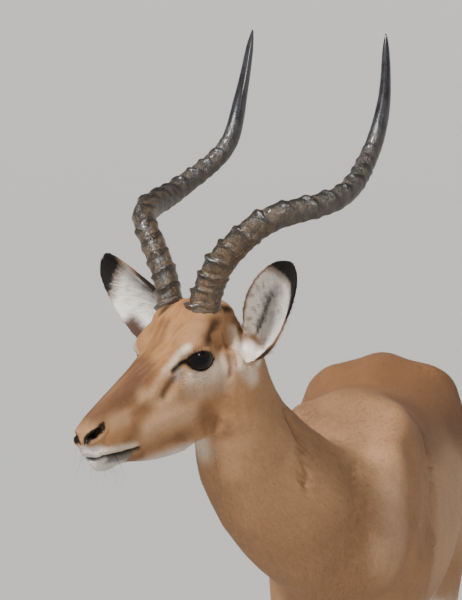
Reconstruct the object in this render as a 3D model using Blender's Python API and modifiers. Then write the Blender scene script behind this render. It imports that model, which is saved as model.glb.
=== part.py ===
"""A life-size impala ram, standing with its head turned to its right: the named solids of a still model.

The flesh is modelled whole from lofts and ovals, fused by a voxel remesh and parted with thin cuts into
head, neck, trunk, tail, legs and ears. Eyes, horns and hooves are pieces of their own. The animal faces -Y,
its left is +X, and its soles are at z = 0.
"""

import math

import bmesh
import bpy
import numpy as np
from mathutils import Matrix, Vector

# ---------------------------------------------------------------- driving sizes, in metres and degrees
GAP = 0.0003  # between pieces that meet
WITHERS = Vector((0.0, 0.0, 0.90))
COLLAR = WITHERS + Vector((-0.045, -0.125, -0.135))  # where the neck is parted from the trunk
FRONT_LEAN, LEAN_ENDS = -0.020, 0.25  # the forehand stands this far to the animal's right
HEAD_TURN, HEAD_DROP = 42, 30
MID_EYE = WITHERS + Vector((-0.215, -0.3575, 0.058))
EYE_RADIUS, EYE_BACK, EYE_OUT = 0.0195, -0.010, 0.0395  # the eyeball and its centre in the head's frame
HORN_BASE = (-0.054, 0.028, 0.031)  # forward, outward and up in the head's frame
HORN_RINGS, RINGED_SHARE = 14, 0.70
EAR_BASE = (-0.097, 0.0475, -0.034)
EAR_REACH = (-0.004, 0.131, 0.118)
EAR_STUB = 0.010  # how much of the reach belongs to the head
EAR_YAW = {1: -19, -1: 27}  # which way each ear opens, in degrees to the left of the muzzle
EAR_DIP, EAR_THICKNESS = 0.16, 0.0045
EAR_WRAP, EAR_UNWRAP = 125, 85  # half the wrap of its cup at the root, and how much of it goes by the tip
HOOF_LENGTH, HOOF_WIDTH, HOOF_HEIGHT = 0.062, 0.0205, 0.036
HOOF_SLOPE, HOOF_HEEL, CLAW_GAP = 0.30, 0.75, 0.0016  # its slanting top, and the cleft of the foot
BODY_VOXEL, HEAD_VOXEL = 0.006, 0.0035
BODY_TRIANGLES, HEAD_TRIANGLES = 3050, 1800
TORSO_ROUNDS, JOINT_ROUNDS, LIMB_ROUNDS, HEAD_ROUNDS = 26, 8, 2, 3  # how often each part is smoothed
JOINT_TOP, LIMB_TOP, LIMB_BOTTOM = 0.62, 0.50, 0.30  # heights that divide those parts
FACE_REACH = 0.19  # how far from the eyes the torso's smoothing stays
FAR = 1.2  # the size of a cutting block
HORN_SEAT, EAR_SEAT, TAIL_SEAT = 0.0240, 0.042, 0.027  # radii of the seats cut for these pieces
SEAT_LENGTH, SEAT_GAP = 0.060, 0.0018

# ---------------------------------------------------------------- colours, linear RGB with roughness
COATS = {
    "rufous": ((0.30, 0.13, 0.055), 0.75),
    "tan": ((0.47, 0.27, 0.15), 0.75),
    "white": ((0.72, 0.68, 0.62), 0.8),
    "horn": ((0.06, 0.045, 0.03), 0.4),
    "eye": ((0.008, 0.006, 0.005), 0.05),
    "hoof": ((0.02, 0.018, 0.017), 0.35),
}


# ---------------------------------------------------------------- small tools
def heading(turn, rise):
    """The unit direction turned to the animal's right from straight ahead, and risen, both in degrees."""
    a, b = math.radians(turn), math.radians(rise)
    return Vector((-math.sin(a) * math.cos(b), -math.cos(a) * math.cos(b), math.sin(b)))


def curve_rows(rows, steps):
    """Rows of numbers carried through by a Catmull-Rom curve, with so many steps between each two."""
    rows = np.array(rows, float)
    ends = np.vstack([2 * rows[0] - rows[1], rows, 2 * rows[-1] - rows[-2]])
    found = []
    for a, b, c, d in zip(ends, ends[1:], ends[2:], ends[3:]):
        for t in np.arange(steps) / steps:
            found.append(
                b + 0.5 * t * (c - a + t * (2 * a - 5 * b + 4 * c - d + t * (3 * (b - c) + d - a)))
            )
    return np.array(found + [rows[-1]])


def new_object(name, bm, collection):
    """A mesh object made from a bmesh, its faces turned outwards and shaded smooth."""
    bmesh.ops.recalc_face_normals(bm, faces=bm.faces)
    mesh = bpy.data.meshes.new(name)
    bm.to_mesh(mesh)
    bm.free()
    mesh.shade_smooth()
    piece = bpy.data.objects.new(name, mesh)
    collection.objects.link(piece)
    return piece


def loft(bm, rings):
    """A closed body through rings of points, capped at both ends."""
    loops = [[bm.verts.new(point) for point in ring] for ring in rings]
    for lower, upper in zip(loops, loops[1:]):
        for i in range(len(lower)):
            bm.faces.new((lower[i - 1], lower[i], upper[i], upper[i - 1]))
    bm.faces.new(loops[0])
    bm.faces.new(loops[-1])


def oval(centre, side, up, sides=24, pear=0.0, square=1.0):
    """A ring about a centre: `pear` above 0 widens its lower half, `square` under 1 fills its corners."""
    ring = []
    for k in range(sides):
        angle = 2 * math.pi * (k + 0.5) / sides
        s, c = math.sin(angle), math.cos(angle)
        wide = math.copysign(abs(s) ** square, s) * (1 - pear * c)
        tall = math.copysign(abs(c) ** square, c)
        ring.append(centre + side * wide + up * tall)
    return ring


def mass(bm, centre, radii, turn=None):
    """An oval mass of clay, its three half sizes along the axes of `turn`."""
    frame = turn.to_4x4() if turn else Matrix.Identity(4)
    place = Matrix.Translation(centre) @ frame @ Matrix.Diagonal((*radii, 1.0))
    bmesh.ops.create_uvsphere(bm, u_segments=24, v_segments=16, radius=1.0, matrix=place)


def tilt_x(degrees):
    """A turn about X, which lifts what points to +Y."""
    return Matrix.Rotation(math.radians(degrees), 3, "X")


# ---------------------------------------------------------------- the head's frame
def head_axes():
    """The head's forward, left and up directions."""
    forward = heading(HEAD_TURN, -HEAD_DROP)
    left = Vector((-heading(HEAD_TURN, 0).y, heading(HEAD_TURN, 0).x, 0.0))
    return forward, left, forward.cross(left)


def in_head(forward, left, up):
    """A place given in metres along the head's own axes from the point midway between the eyes."""
    u, v, w = head_axes()
    return MID_EYE + u * forward + v * left + w * up


def head_turn(pitch=0, yaw=0):
    """The head's axes as a turn, with a piece's own pitch and yaw in degrees within them."""
    u, v, w = head_axes()
    frame = Matrix((u, v, w)).transposed()
    return frame @ Matrix.Rotation(math.radians(yaw), 3, "Z") @ Matrix.Rotation(math.radians(pitch), 3, "Y")


# ---------------------------------------------------------------- forms of the body, as rows through it
TRUNK_ROWS = (  # back from the withers, top, bottom, half width, pear, square
    (-0.150, 0.760, 0.655, 0.050, 0.0, 1.0),
    (-0.120, 0.805, 0.622, 0.074, 0.0, 1.0),
    (-0.070, 0.862, 0.588, 0.088, 0.08, 0.95),
    (0.000, 0.897, 0.558, 0.100, 0.08, 0.86),
    (0.080, 0.893, 0.549, 0.106, 0.06, 0.86),
    (0.180, 0.882, 0.549, 0.112, 0.06, 0.90),
    (0.300, 0.879, 0.560, 0.120, 0.04, 0.88),
    (0.400, 0.890, 0.584, 0.122, 0.02, 0.82),
    (0.480, 0.905, 0.616, 0.126, 0.0, 0.80),
    (0.540, 0.908, 0.650, 0.123, 0.0, 0.80),
    (0.610, 0.892, 0.690, 0.100, 0.0, 0.88),
    (0.670, 0.860, 0.722, 0.078, 0.0, 1.0),
    (0.700, 0.832, 0.748, 0.045, 0.0, 1.0),
)
NECK_ROWS = (  # aside, back, height of the middle, half width, half depth
    (0.000, 0.020, 0.722, 0.070, 0.120),
    (-0.020, -0.075, 0.727, 0.082, 0.110),
    (-0.046, -0.146, 0.740, 0.080, 0.104),
    (-0.088, -0.206, 0.782, 0.074, 0.095),
    (-0.121, -0.252, 0.837, 0.062, 0.085),
    (-0.138, -0.287, 0.900, 0.050, 0.069),
    (-0.145, -0.304, 0.950, 0.047, 0.062),
    (-0.147, -0.314, 0.982, 0.042, 0.050),
)
FORELEG_ROWS = (  # height, out from the mid-plane, back, half width, half depth
    (0.760, 0.060, -0.045, 0.036, 0.075),
    (0.700, 0.062, -0.045, 0.042, 0.078),
    (0.640, 0.062, -0.030, 0.042, 0.064),
    (0.590, 0.061, -0.018, 0.038, 0.052),
    (0.530, 0.059, -0.018, 0.0310, 0.040),
    (0.460, 0.057, -0.024, 0.0245, 0.030),
    (0.390, 0.056, -0.030, 0.0205, 0.0240),
    (0.340, 0.056, -0.031, 0.0225, 0.0255),
    (0.305, 0.056, -0.029, 0.0190, 0.0215),
    (0.265, 0.056, -0.026, 0.0140, 0.0175),
    (0.190, 0.056, -0.024, 0.0130, 0.0155),
    (0.130, 0.056, -0.023, 0.0145, 0.0170),
    (0.102, 0.056, -0.023, 0.0180, 0.0205),
    (0.075, 0.056, -0.030, 0.0155, 0.0170),
    (0.050, 0.056, -0.038, 0.0180, 0.0195),
    (0.015, 0.056, -0.045, 0.0200, 0.0220),
)
HINDLEG_ROWS = (
    (0.830, 0.050, 0.575, 0.035, 0.080),
    (0.770, 0.062, 0.568, 0.048, 0.122),
    (0.700, 0.068, 0.555, 0.052, 0.130),
    (0.640, 0.071, 0.537, 0.048, 0.118),
    (0.590, 0.071, 0.520, 0.042, 0.099),
    (0.540, 0.070, 0.525, 0.0345, 0.077),
    (0.490, 0.068, 0.556, 0.0275, 0.056),
    (0.440, 0.066, 0.604, 0.0215, 0.043),
    (0.400, 0.065, 0.641, 0.0195, 0.040),
    (0.370, 0.065, 0.650, 0.0210, 0.037),
    (0.335, 0.065, 0.653, 0.0200, 0.029),
    (0.290, 0.065, 0.651, 0.0150, 0.0200),
    (0.200, 0.065, 0.647, 0.0135, 0.0175),
    (0.130, 0.065, 0.643, 0.0150, 0.0180),
    (0.102, 0.065, 0.641, 0.0185, 0.0210),
    (0.075, 0.065, 0.634, 0.0160, 0.0175),
    (0.050, 0.065, 0.626, 0.0185, 0.0195),
    (0.015, 0.065, 0.619, 0.0205, 0.0220),
)
TAIL_ROWS = (  # back, height, half width, half depth
    (0.700, 0.812, 0.0185, 0.0170),
    (0.718, 0.788, 0.0175, 0.0145),
    (0.727, 0.740, 0.0190, 0.0110),
    (0.727, 0.675, 0.0230, 0.0115),
    (0.724, 0.615, 0.0240, 0.0120),
    (0.720, 0.565, 0.0180, 0.0105),
    (0.716, 0.530, 0.0060, 0.0050),
)
HEAD_ROWS = (  # forward, top, bottom, half width, pear, square; in the head's frame
    (0.1740, -0.0110, -0.0280, 0.0100, 0.0, 1.0),
    (0.1690, -0.0030, -0.0400, 0.0175, 0.0, 0.9),
    (0.1600, 0.0060, -0.0510, 0.0220, 0.0, 0.9),
    (0.1500, 0.0100, -0.0590, 0.0240, 0.05, 0.9),
    (0.1320, 0.0130, -0.0650, 0.0240, 0.08, 0.9),
    (0.1150, 0.0155, -0.0760, 0.0245, 0.05, 0.9),
    (0.0950, 0.0175, -0.0880, 0.0265, 0.0, 0.88),
    (0.0700, 0.0195, -0.0970, 0.0300, -0.04, 0.85),
    (0.0400, 0.0230, -0.1050, 0.0345, -0.10, 0.85),
    (0.0100, 0.0280, -0.1090, 0.0400, -0.15, 0.82),
    (-0.0200, 0.0345, -0.1060, 0.0450, -0.18, 0.82),
    (-0.0500, 0.0395, -0.0950, 0.0440, -0.15, 0.9),
    (-0.0800, 0.0360, -0.0760, 0.0410, -0.10, 1.0),
    (-0.1050, 0.0240, -0.0560, 0.0340, 0.0, 1.0),
    (-0.1200, 0.0080, -0.0400, 0.0200, 0.0, 1.0),
)
HORN_PATH = (  # outward, forward and up from the horn's base, along level axes turned with the head
    (0.000, 0.000, 0.000),
    (0.015, -0.004, 0.044),
    (0.039, -0.009, 0.078),
    (0.087, -0.035, 0.121),
    (0.123, -0.123, 0.148),
    (0.106, -0.191, 0.200),
    (0.105, -0.217, 0.267),
    (0.096, -0.229, 0.351),
)
HORN_RADII = ((0, 0.0200), (0.08, 0.0180), (0.35, 0.0160), (0.6, 0.0125), (0.8, 0.0080), (1, 0.0014))
RING_RISE = ((0.0, 0.94), (0.35, 1.07), (0.75, 1.05))  # along one ring of the horn, and its radius there
EAR_ROWS = (  # share of the ear's length, half widths of its lower and its upper side
    (0.00, 0.022, 0.011),
    (0.12, 0.032, 0.015),
    (0.30, 0.038, 0.021),
    (0.50, 0.040, 0.028),
    (0.70, 0.035, 0.027),
    (0.85, 0.026, 0.020),
    (0.95, 0.018, 0.012),
    (1.00, 0.003, 0.003),
)
HOOF_ROWS = (  # shares of the hoof's height, length and width, and how far back it has moved
    (0.00, 1.00, 1.0, -0.004),
    (0.35, 0.93, 1.0, -0.002),
    (1.00, 0.72, 0.9, 0.004),
    (1.50, 0.60, 0.8, 0.008),
)
SHOULDER_MASSES = (  # out, back, height, half sizes, tilt; one of each on either side
    (0.058, -0.020, 0.765, (0.044, 0.105, 0.120), -15),
    (0.060, -0.070, 0.705, (0.042, 0.072, 0.075), 0),
    (0.040, -0.110, 0.705, (0.050, 0.060, 0.070), 0),
    (0.062, 0.005, 0.670, (0.043, 0.080, 0.080), 0),
    (0.066, 0.520, 0.800, (0.048, 0.120, 0.080), 0),
    (0.050, 0.635, 0.770, (0.042, 0.064, 0.075), 0),
)
JOINT_MASSES = (  # elbow, stifle and hock
    (0.058, 0.030, 0.590, (0.0220, 0.024, 0.036), 0),
    (0.069, 0.435, 0.600, (0.0270, 0.034, 0.042), 0),
    (0.065, 0.678, 0.385, (0.0115, 0.012, 0.026), -20),
)
MIDDLE_MASSES = (  # aside, back, height, half sizes: breast, scrotum, sheath and root of the tail
    (-0.032, -0.115, 0.695, (0.0750, 0.065, 0.060)),
    (0.0, 0.560, 0.610, (0.0240, 0.034, 0.036)),
    (0.0, 0.400, 0.590, (0.0140, 0.070, 0.016)),
    (0.0, 0.690, 0.815, (0.0185, 0.030, 0.022)),
)
HEAD_MASSES = (  # forward, outward, up, half sizes, pitch, yaw; in the head's frame, on either side
    (-0.012, 0.0350, 0.002, (0.030, 0.0190, 0.0240), 0, -30),  # socket's wall
    (-0.016, 0.0360, 0.021, (0.032, 0.0160, 0.0100), 0, -25),  # brow
    (-0.010, 0.0395, 0.0135, (0.0240, 0.0185, 0.0100), 0, -30),  # upper lid
    (-0.010, 0.0395, -0.0135, (0.0230, 0.0178, 0.0090), 0, -30),  # lower lid
    (-0.035, 0.0290, -0.050, (0.045, 0.0170, 0.0360), -10, 0),  # cheek
    (0.055, 0.0190, -0.084, (0.070, 0.0090, 0.0160), -17, -6),  # jaw
    (0.162, 0.0115, -0.014, (0.014, 0.0105, 0.0110), 0, 0),  # nostril's rim
    (0.149, 0.0115, -0.036, (0.024, 0.0130, 0.0120), 0, 0),  # upper lip
    (-0.057, 0.0290, 0.026, (0.027, 0.0230, 0.0220), 0, 0),  # horn's core
    (-0.093, 0.0400, -0.033, (0.022, 0.0220, 0.0330), 0, 0),  # ear's root
)
CHIN = (0.150, 0, -0.050), (0.020, 0.0140, 0.0100)


# ---------------------------------------------------------------- clay: lofts and masses before they fuse
def lean(back):
    """How far aside the body's middle lies at a place along it."""
    share = max(0.0, LEAN_ENDS - back) / (LEAN_ENDS - TRUNK_ROWS[0][0])
    return FRONT_LEAN * min(1.0, share) ** 1.5


def on_body(side, out, back, height):
    """A place on the body, its outward distance measured from the leaning middle."""
    return Vector((side * out + lean(back), back, height))


def trunk_clay(bm):
    """The barrel of the body, with the blades, the points of the shoulder, the haunches and the croup."""
    rings = []
    for back, top, bottom, half, pear, square in curve_rows(TRUNK_ROWS, 3):
        centre = on_body(0, 0, back, (top + bottom) / 2)
        tall = Vector((0, 0, (top - bottom) / 2))
        rings.append(oval(centre, Vector((half, 0, 0)), tall, pear=pear, square=square))
    loft(bm, rings)
    side_masses(bm, SHOULDER_MASSES)
    for aside, back, height, radii in MIDDLE_MASSES:
        mass(bm, Vector((aside, back, height)), radii)


def side_masses(bm, masses):
    """Pairs of masses, one on either side of the body's leaning middle."""
    for out, back, height, radii, tilt in masses:
        for side in (-1, 1):
            mass(bm, on_body(side, out, back, height), radii, tilt_x(tilt))


def neck_clay(bm, first=0):
    """The neck, turned to the animal's right, from inside the breast to inside the head."""
    rows = curve_rows(NECK_ROWS[first:], 4)
    slopes = np.gradient(rows[:, :3], axis=0)
    rings = []
    for row, slope in zip(rows, slopes):
        on = Vector(slope).normalized()
        side = Vector((-on.y, on.x, 0)).normalized()
        rings.append(oval(Vector(row[:3]), side * row[3], on.cross(side) * row[4], pear=0.08))
    loft(bm, rings)


def leg_clay(bm, rows, side):
    """A leg from inside the trunk down to the hooves."""
    rings = []
    for height, out, back, half_width, half_depth in curve_rows(rows, 3):
        centre = Vector((side * out + lean(rows[0][2]), back, height))
        rings.append(oval(centre, Vector((half_width, 0, 0)), Vector((0, half_depth, 0)), sides=20))
    loft(bm, rings)


def body_clay(bm):
    """The trunk, neck and legs."""
    trunk_clay(bm)
    neck_clay(bm)
    for side in (-1, 1):
        leg_clay(bm, FORELEG_ROWS, side)
        leg_clay(bm, HINDLEG_ROWS, side)
    side_masses(bm, JOINT_MASSES)


def head_clay(bm):
    """The head: skull, muzzle and jaw as one loft, with brows, cheeks, lips, horn cores and ear roots."""
    forward, left, up = head_axes()
    rings = []
    for ahead, top, bottom, half, pear, square in curve_rows(HEAD_ROWS, 3):
        middle = in_head(ahead, 0, (top + bottom) / 2)
        rings.append(oval(middle, left * half, up * (top - bottom) / 2, pear=pear, square=square))
    loft(bm, rings)
    for ahead, out, rise, radii, pitch, yaw in HEAD_MASSES:
        for side in (-1, 1):
            mass(bm, in_head(ahead, side * out, rise), radii, head_turn(pitch, side * yaw))
    place, radii = CHIN
    mass(bm, in_head(*place), radii, head_turn())
    neck_clay(bm, first=4)


def body_rounds(place):
    """How often the body's skin is smoothed at a place."""
    if place.z > JOINT_TOP:
        return TORSO_ROUNDS if (place - MID_EYE).length > FACE_REACH else 0
    if place.z > LIMB_TOP:
        return JOINT_ROUNDS
    return LIMB_ROUNDS if place.z > LIMB_BOTTOM else 0


def fused(name, shape, voxel, triangles, rounds):
    """One closed skin round overlapping clay, smoothed as often as `rounds` says and thinned to a count."""
    scene = bpy.context.scene.collection
    bm = bmesh.new()
    shape(bm)
    lump = new_object(name, bm, scene)
    remesh = lump.modifiers.new("Remesh", "REMESH")
    remesh.mode = "VOXEL"
    remesh.voxel_size = voxel
    lump.data = baked(lump)
    bm = bmesh.new()
    bm.from_mesh(lump.data)
    wanted = [(v, rounds(v.co)) for v in bm.verts]
    for turn in range(max(count for _, count in wanted)):
        verts = [v for v, count in wanted if count > turn]
        bmesh.ops.smooth_vert(bm, verts=verts, factor=0.5, use_axis_x=True, use_axis_y=True, use_axis_z=True)
    bm.to_mesh(lump.data)
    bm.free()
    thin = lump.modifiers.new("Decimate", "DECIMATE")
    thin.ratio = triangles / (2 * len(lump.data.polygons))
    mesh = baked(lump)
    bpy.data.objects.remove(lump)
    return mesh


def baked(piece):
    """The piece's mesh with its modifiers applied, and the modifiers gone."""
    graph = bpy.context.evaluated_depsgraph_get()
    mesh = bpy.data.meshes.new_from_object(piece.evaluated_get(graph))
    piece.modifiers.clear()
    return mesh


# ---------------------------------------------------------------- cuts
def block(name, planes, grow, cutters):
    """A cutting block: a great cube kept behind each plane, given as a point and an outward normal."""
    bm = bmesh.new()
    bmesh.ops.create_cube(bm, size=2 * FAR, matrix=Matrix.Translation(WITHERS))
    for point, normal in planes:
        normal = normal.normalized()
        everything = bm.verts[:] + bm.edges[:] + bm.faces[:]
        cut = bmesh.ops.bisect_plane(
            bm, geom=everything, plane_co=point + normal * grow, plane_no=normal, clear_outer=True
        )
        edges = [e for e in cut["geom_cut"] if isinstance(e, bmesh.types.BMEdge)]
        bmesh.ops.contextual_create(bm, geom=edges)
    return as_cutter(new_object(name, bm, cutters))


def as_cutter(piece):
    """A helper that cuts and isn't part of the model."""
    piece.hide_render = True
    piece.display_type = "WIRE"
    return piece


def boolean(piece, operation, cutter):
    """A live Boolean on a piece."""
    modifier = piece.modifiers.new(operation.title(), "BOOLEAN")
    modifier.operation = operation
    modifier.object = cutter


def level_axes():
    """Forward, left and up, level but turned with the head."""
    forward = heading(HEAD_TURN, 0)
    return forward, Vector((-forward.y, forward.x, 0)), Vector((0, 0, 1))


def horn_line(side, steps):
    """Points along a horn's middle, from its base to its tip."""
    forward, left, up = level_axes()
    ahead, out, rise = HORN_BASE
    base = in_head(ahead, side * out, rise)
    return [
        base + left * side * float(o) + forward * float(f) + up * float(u)
        for o, f, u in curve_rows(HORN_PATH, steps)
    ]


def horn_start(side):
    """A horn's base point and the direction in which it leaves the head."""
    line = horn_line(side, 4)
    return line[0], (line[2] - line[0]).normalized()


def ear_start(side):
    """An ear's base point, its direction and its length."""
    forward, left, up = head_axes()
    ahead, out, rise = EAR_REACH
    reach = forward * ahead + left * side * out + up * rise
    ahead, out, rise = EAR_BASE
    start = in_head(ahead, side * out, rise) + reach.normalized() * EAR_STUB
    return start, reach.normalized(), reach.length - EAR_STUB


# ---------------------------------------------------------------- pieces with a body of their own
def horn(name, side, collection):
    """A lyre-shaped horn, ringed to two thirds of its length and drawn out to a smooth point."""
    line = horn_line(side, 10)
    lengths = np.cumsum([0] + [(b - a).length for a, b in zip(line, line[1:])])
    total = lengths[-1]
    stations = []
    for k in range(HORN_RINGS):
        for phase, swell in RING_RISE:
            stations.append(((k + phase) / HORN_RINGS * RINGED_SHARE, swell - 0.05 * k / HORN_RINGS))
    stations += [(RINGED_SHARE + (1 - RINGED_SHARE) * k / 10, 0.95) for k in range(11)]
    points, radii = [], []
    for share, swell in stations:
        at = [np.interp(share * total, lengths, [p[axis] for p in line]) for axis in range(3)]
        points.append(Vector(at))
        radii.append(swell * np.interp(share, *zip(*HORN_RADII)))
    rings = []
    side_way = level_axes()[1]
    for i, point in enumerate(points):
        on = (points[min(i + 1, len(points) - 1)] - points[max(i - 1, 0)]).normalized()
        side_way = (side_way - on * side_way.dot(on)).normalized()
        rings.append(oval(point, side_way * radii[i], on.cross(side_way) * radii[i], sides=8))
    bm = bmesh.new()
    loft(bm, rings)
    return new_object(name, bm, collection)


def ear(name, side, collection):
    """A cupped leaf that opens forwards, wrapped into a tube at the root and flatter to its point."""
    start, on, length = ear_start(side)
    forward, left, up = head_axes()
    yaw = math.radians(EAR_YAW[side])
    opening = forward * math.cos(yaw) + left * math.sin(yaw) - up * EAR_DIP
    opening = (opening - on * opening.dot(on)).normalized()
    lower = on.cross(opening) * side
    bm = bmesh.new()
    bmesh.ops.create_grid(bm, x_segments=6, y_segments=8, size=1.0)
    for v in bm.verts:
        along = (v.co.y + 1) / 2
        half_lower, half_upper = (np.interp(along, *columns) for columns in ear_columns())
        wrap = math.radians(EAR_WRAP - EAR_UNWRAP * along)
        narrowing = math.sin(min(wrap, math.pi / 2))
        radius = (half_lower if v.co.x > 0 else half_upper) / narrowing
        rise = radius * (1 - math.cos(v.co.x * wrap))
        hollow = (half_lower + half_upper) / narrowing * 0.25 * (1 - along) - 0.02 * along * (1 - along)
        place = lower * radius * math.sin(v.co.x * wrap) + opening * (rise - hollow)
        v.co = start + on * length * along + place
    piece = new_object(name, bm, collection)
    solid = piece.modifiers.new("Solidify", "SOLIDIFY")
    solid.thickness = EAR_THICKNESS
    solid.offset = 0
    return piece


def ear_columns():
    """The ear's rows as two curves: its lower and its upper half width against the share along it."""
    shares, lower, upper = zip(*EAR_ROWS)
    return (shares, lower), (shares, upper)


def ball(name, side, radius, segments, rings, collection):
    """A ball round an eye's centre: the eyeball, or its socket."""
    bm = bmesh.new()
    place = Matrix.Translation(in_head(EYE_BACK, side * EYE_OUT, 0)) @ head_turn().to_4x4()
    bmesh.ops.create_uvsphere(bm, u_segments=segments, v_segments=rings, radius=radius, matrix=place)
    return new_object(name, bm, collection)


def seat(name, start, on, radius, cutters):
    """A round cutter that clears the flesh from where a piece starts, onward along its direction."""
    bm = bmesh.new()
    turn = on.to_track_quat("Z", "Y").to_matrix().to_4x4()
    place = Matrix.Translation(start + on * (SEAT_LENGTH / 2 - SEAT_GAP)) @ turn
    bmesh.ops.create_cone(
        bm, cap_ends=True, segments=16, radius1=radius, radius2=radius, depth=SEAT_LENGTH, matrix=place
    )
    return as_cutter(new_object(name, bm, cutters))


def hoof_place(rows, side):
    """The middle of a foot on the floor, below its leg's lowest row."""
    return Vector((side * rows[-1][1] + lean(rows[0][2]), rows[-1][2], 0))


def hoof_top(rows, side, grow=0.0):
    """The plane where hooves end and the leg begins, higher at the toe."""
    normal = Vector((0, HOOF_SLOPE, 1)).normalized()
    return hoof_place(rows, side) + Vector((0, 0, HOOF_HEIGHT * HOOF_HEEL)) + normal * grow, normal


def hoof(name, rows, side, claw, collection, cutters):
    """One pointed claw of a foot, flat on the floor and cut off at the slanting top of the hoof."""
    middle = hoof_place(rows, side) + Vector((claw * (HOOF_WIDTH + CLAW_GAP) / 2, 0, 0))
    rings = []
    for height, length, width, back in HOOF_ROWS:
        ring = []
        for k in range(10):
            angle = 2 * math.pi * k / 10
            ahead = -math.cos(angle)
            taper = 1 - 0.55 * max(0, -ahead) ** 2
            x = math.sin(angle) * HOOF_WIDTH / 2 * width * taper
            y = ahead * HOOF_LENGTH / 2 * length + back
            ring.append(middle + Vector((x, y, height * HOOF_HEIGHT)))
        rings.append(ring)
    bm = bmesh.new()
    loft(bm, rings)
    piece = new_object(name, bm, collection)
    point, normal = hoof_top(rows, side)
    boolean(piece, "DIFFERENCE", block(name + "_top", [(point, -normal)], 0, cutters))
    return piece


def tail(name, collection):
    """The tail, hanging behind the buttocks and bushy towards its end."""
    rows = curve_rows(TAIL_ROWS, 2)
    slopes = np.gradient(rows[:, :2], axis=0)
    rings = []
    for (back, height, half_width, half_depth), slope in zip(rows, slopes):
        on = Vector((0, *slope)).normalized()
        across = Vector((1, 0, 0))
        rings.append(oval(Vector((0, back, height)), across * half_width, on.cross(across) * half_depth, 10))
    bm = bmesh.new()
    loft(bm, rings)
    return new_object(name, bm, collection)


# ---------------------------------------------------------------- where the flesh is parted
def regions():
    """The planes that bound each part of the flesh, as points and outward normals."""
    forward, left, up = head_axes()
    nape = (in_head(-0.112, 0, 0.010), -0.90 * forward - 0.44 * up)
    throat = (in_head(0, 0, -0.119), -up)
    found = {"neck": [(COLLAR, -heading(28, 35))]}
    for side, word in ((-1, "right"), (1, "left")):
        inward = Vector((-side, 0, 0))
        slant = Vector((-side * 0.66, 0, 0.75))
        arm = [
            (on_body(side, 0.016, -0.03, 0.545), slant),
            (Vector((0, -0.150, 0)), Vector((0, -1, 0))),
            (Vector((0, 0.085, 0)), Vector((0, 1, 0))),
            (on_body(side, 0.006, -0.03, 0), inward),
        ]
        thigh = [
            (Vector((side * 0.010, 0, 0.640)), slant),
            (Vector((0, 0.395, 0.610)), Vector((0, -1, 0.30))),
            (Vector((side * 0.006, 0, 0)), inward),
        ]
        for name, rows, planes in (("foreleg_", FORELEG_ROWS, arm), ("hindleg_", HINDLEG_ROWS, thigh)):
            point, normal = hoof_top(rows, side, GAP)
            found[name + word] = planes + [(point, -normal)]
    return [nape, throat], found


def paint(piece, finish):
    """Gives a piece its own material."""
    colour, roughness = COATS[finish]
    material = bpy.data.materials.new(piece.name)
    material.use_nodes = True
    shader = material.node_tree.nodes["Principled BSDF"]
    shader.inputs["Base Color"].default_value = (*colour, 1)
    shader.inputs["Roughness"].default_value = roughness
    shader.inputs["Metallic"].default_value = 0.0
    piece.data.materials.clear()
    piece.data.materials.append(material)


def piece_of(name, mesh, collection):
    """A new object on its own copy of a mesh."""
    piece = bpy.data.objects.new(name, mesh.copy())
    collection.objects.link(piece)
    return piece


def stand_on_origin(impala, cutters):
    """Hangs all on an empty, which sets the bottom centre of the animal's box on the origin."""
    bpy.context.view_layer.update()
    graph = bpy.context.evaluated_depsgraph_get()
    corners = np.array([c[:] for piece in impala.objects for c in piece.evaluated_get(graph).bound_box])
    low, high = corners.min(axis=0), corners.max(axis=0)
    stand = bpy.data.objects.new("stand_point", None)
    stand.location = (-(low[0] + high[0]) / 2, -(low[1] + high[1]) / 2, -low[2])
    impala.objects.link(stand)
    for piece in (*impala.objects, *cutters.objects):
        if piece != stand:
            piece.parent = stand


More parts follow.
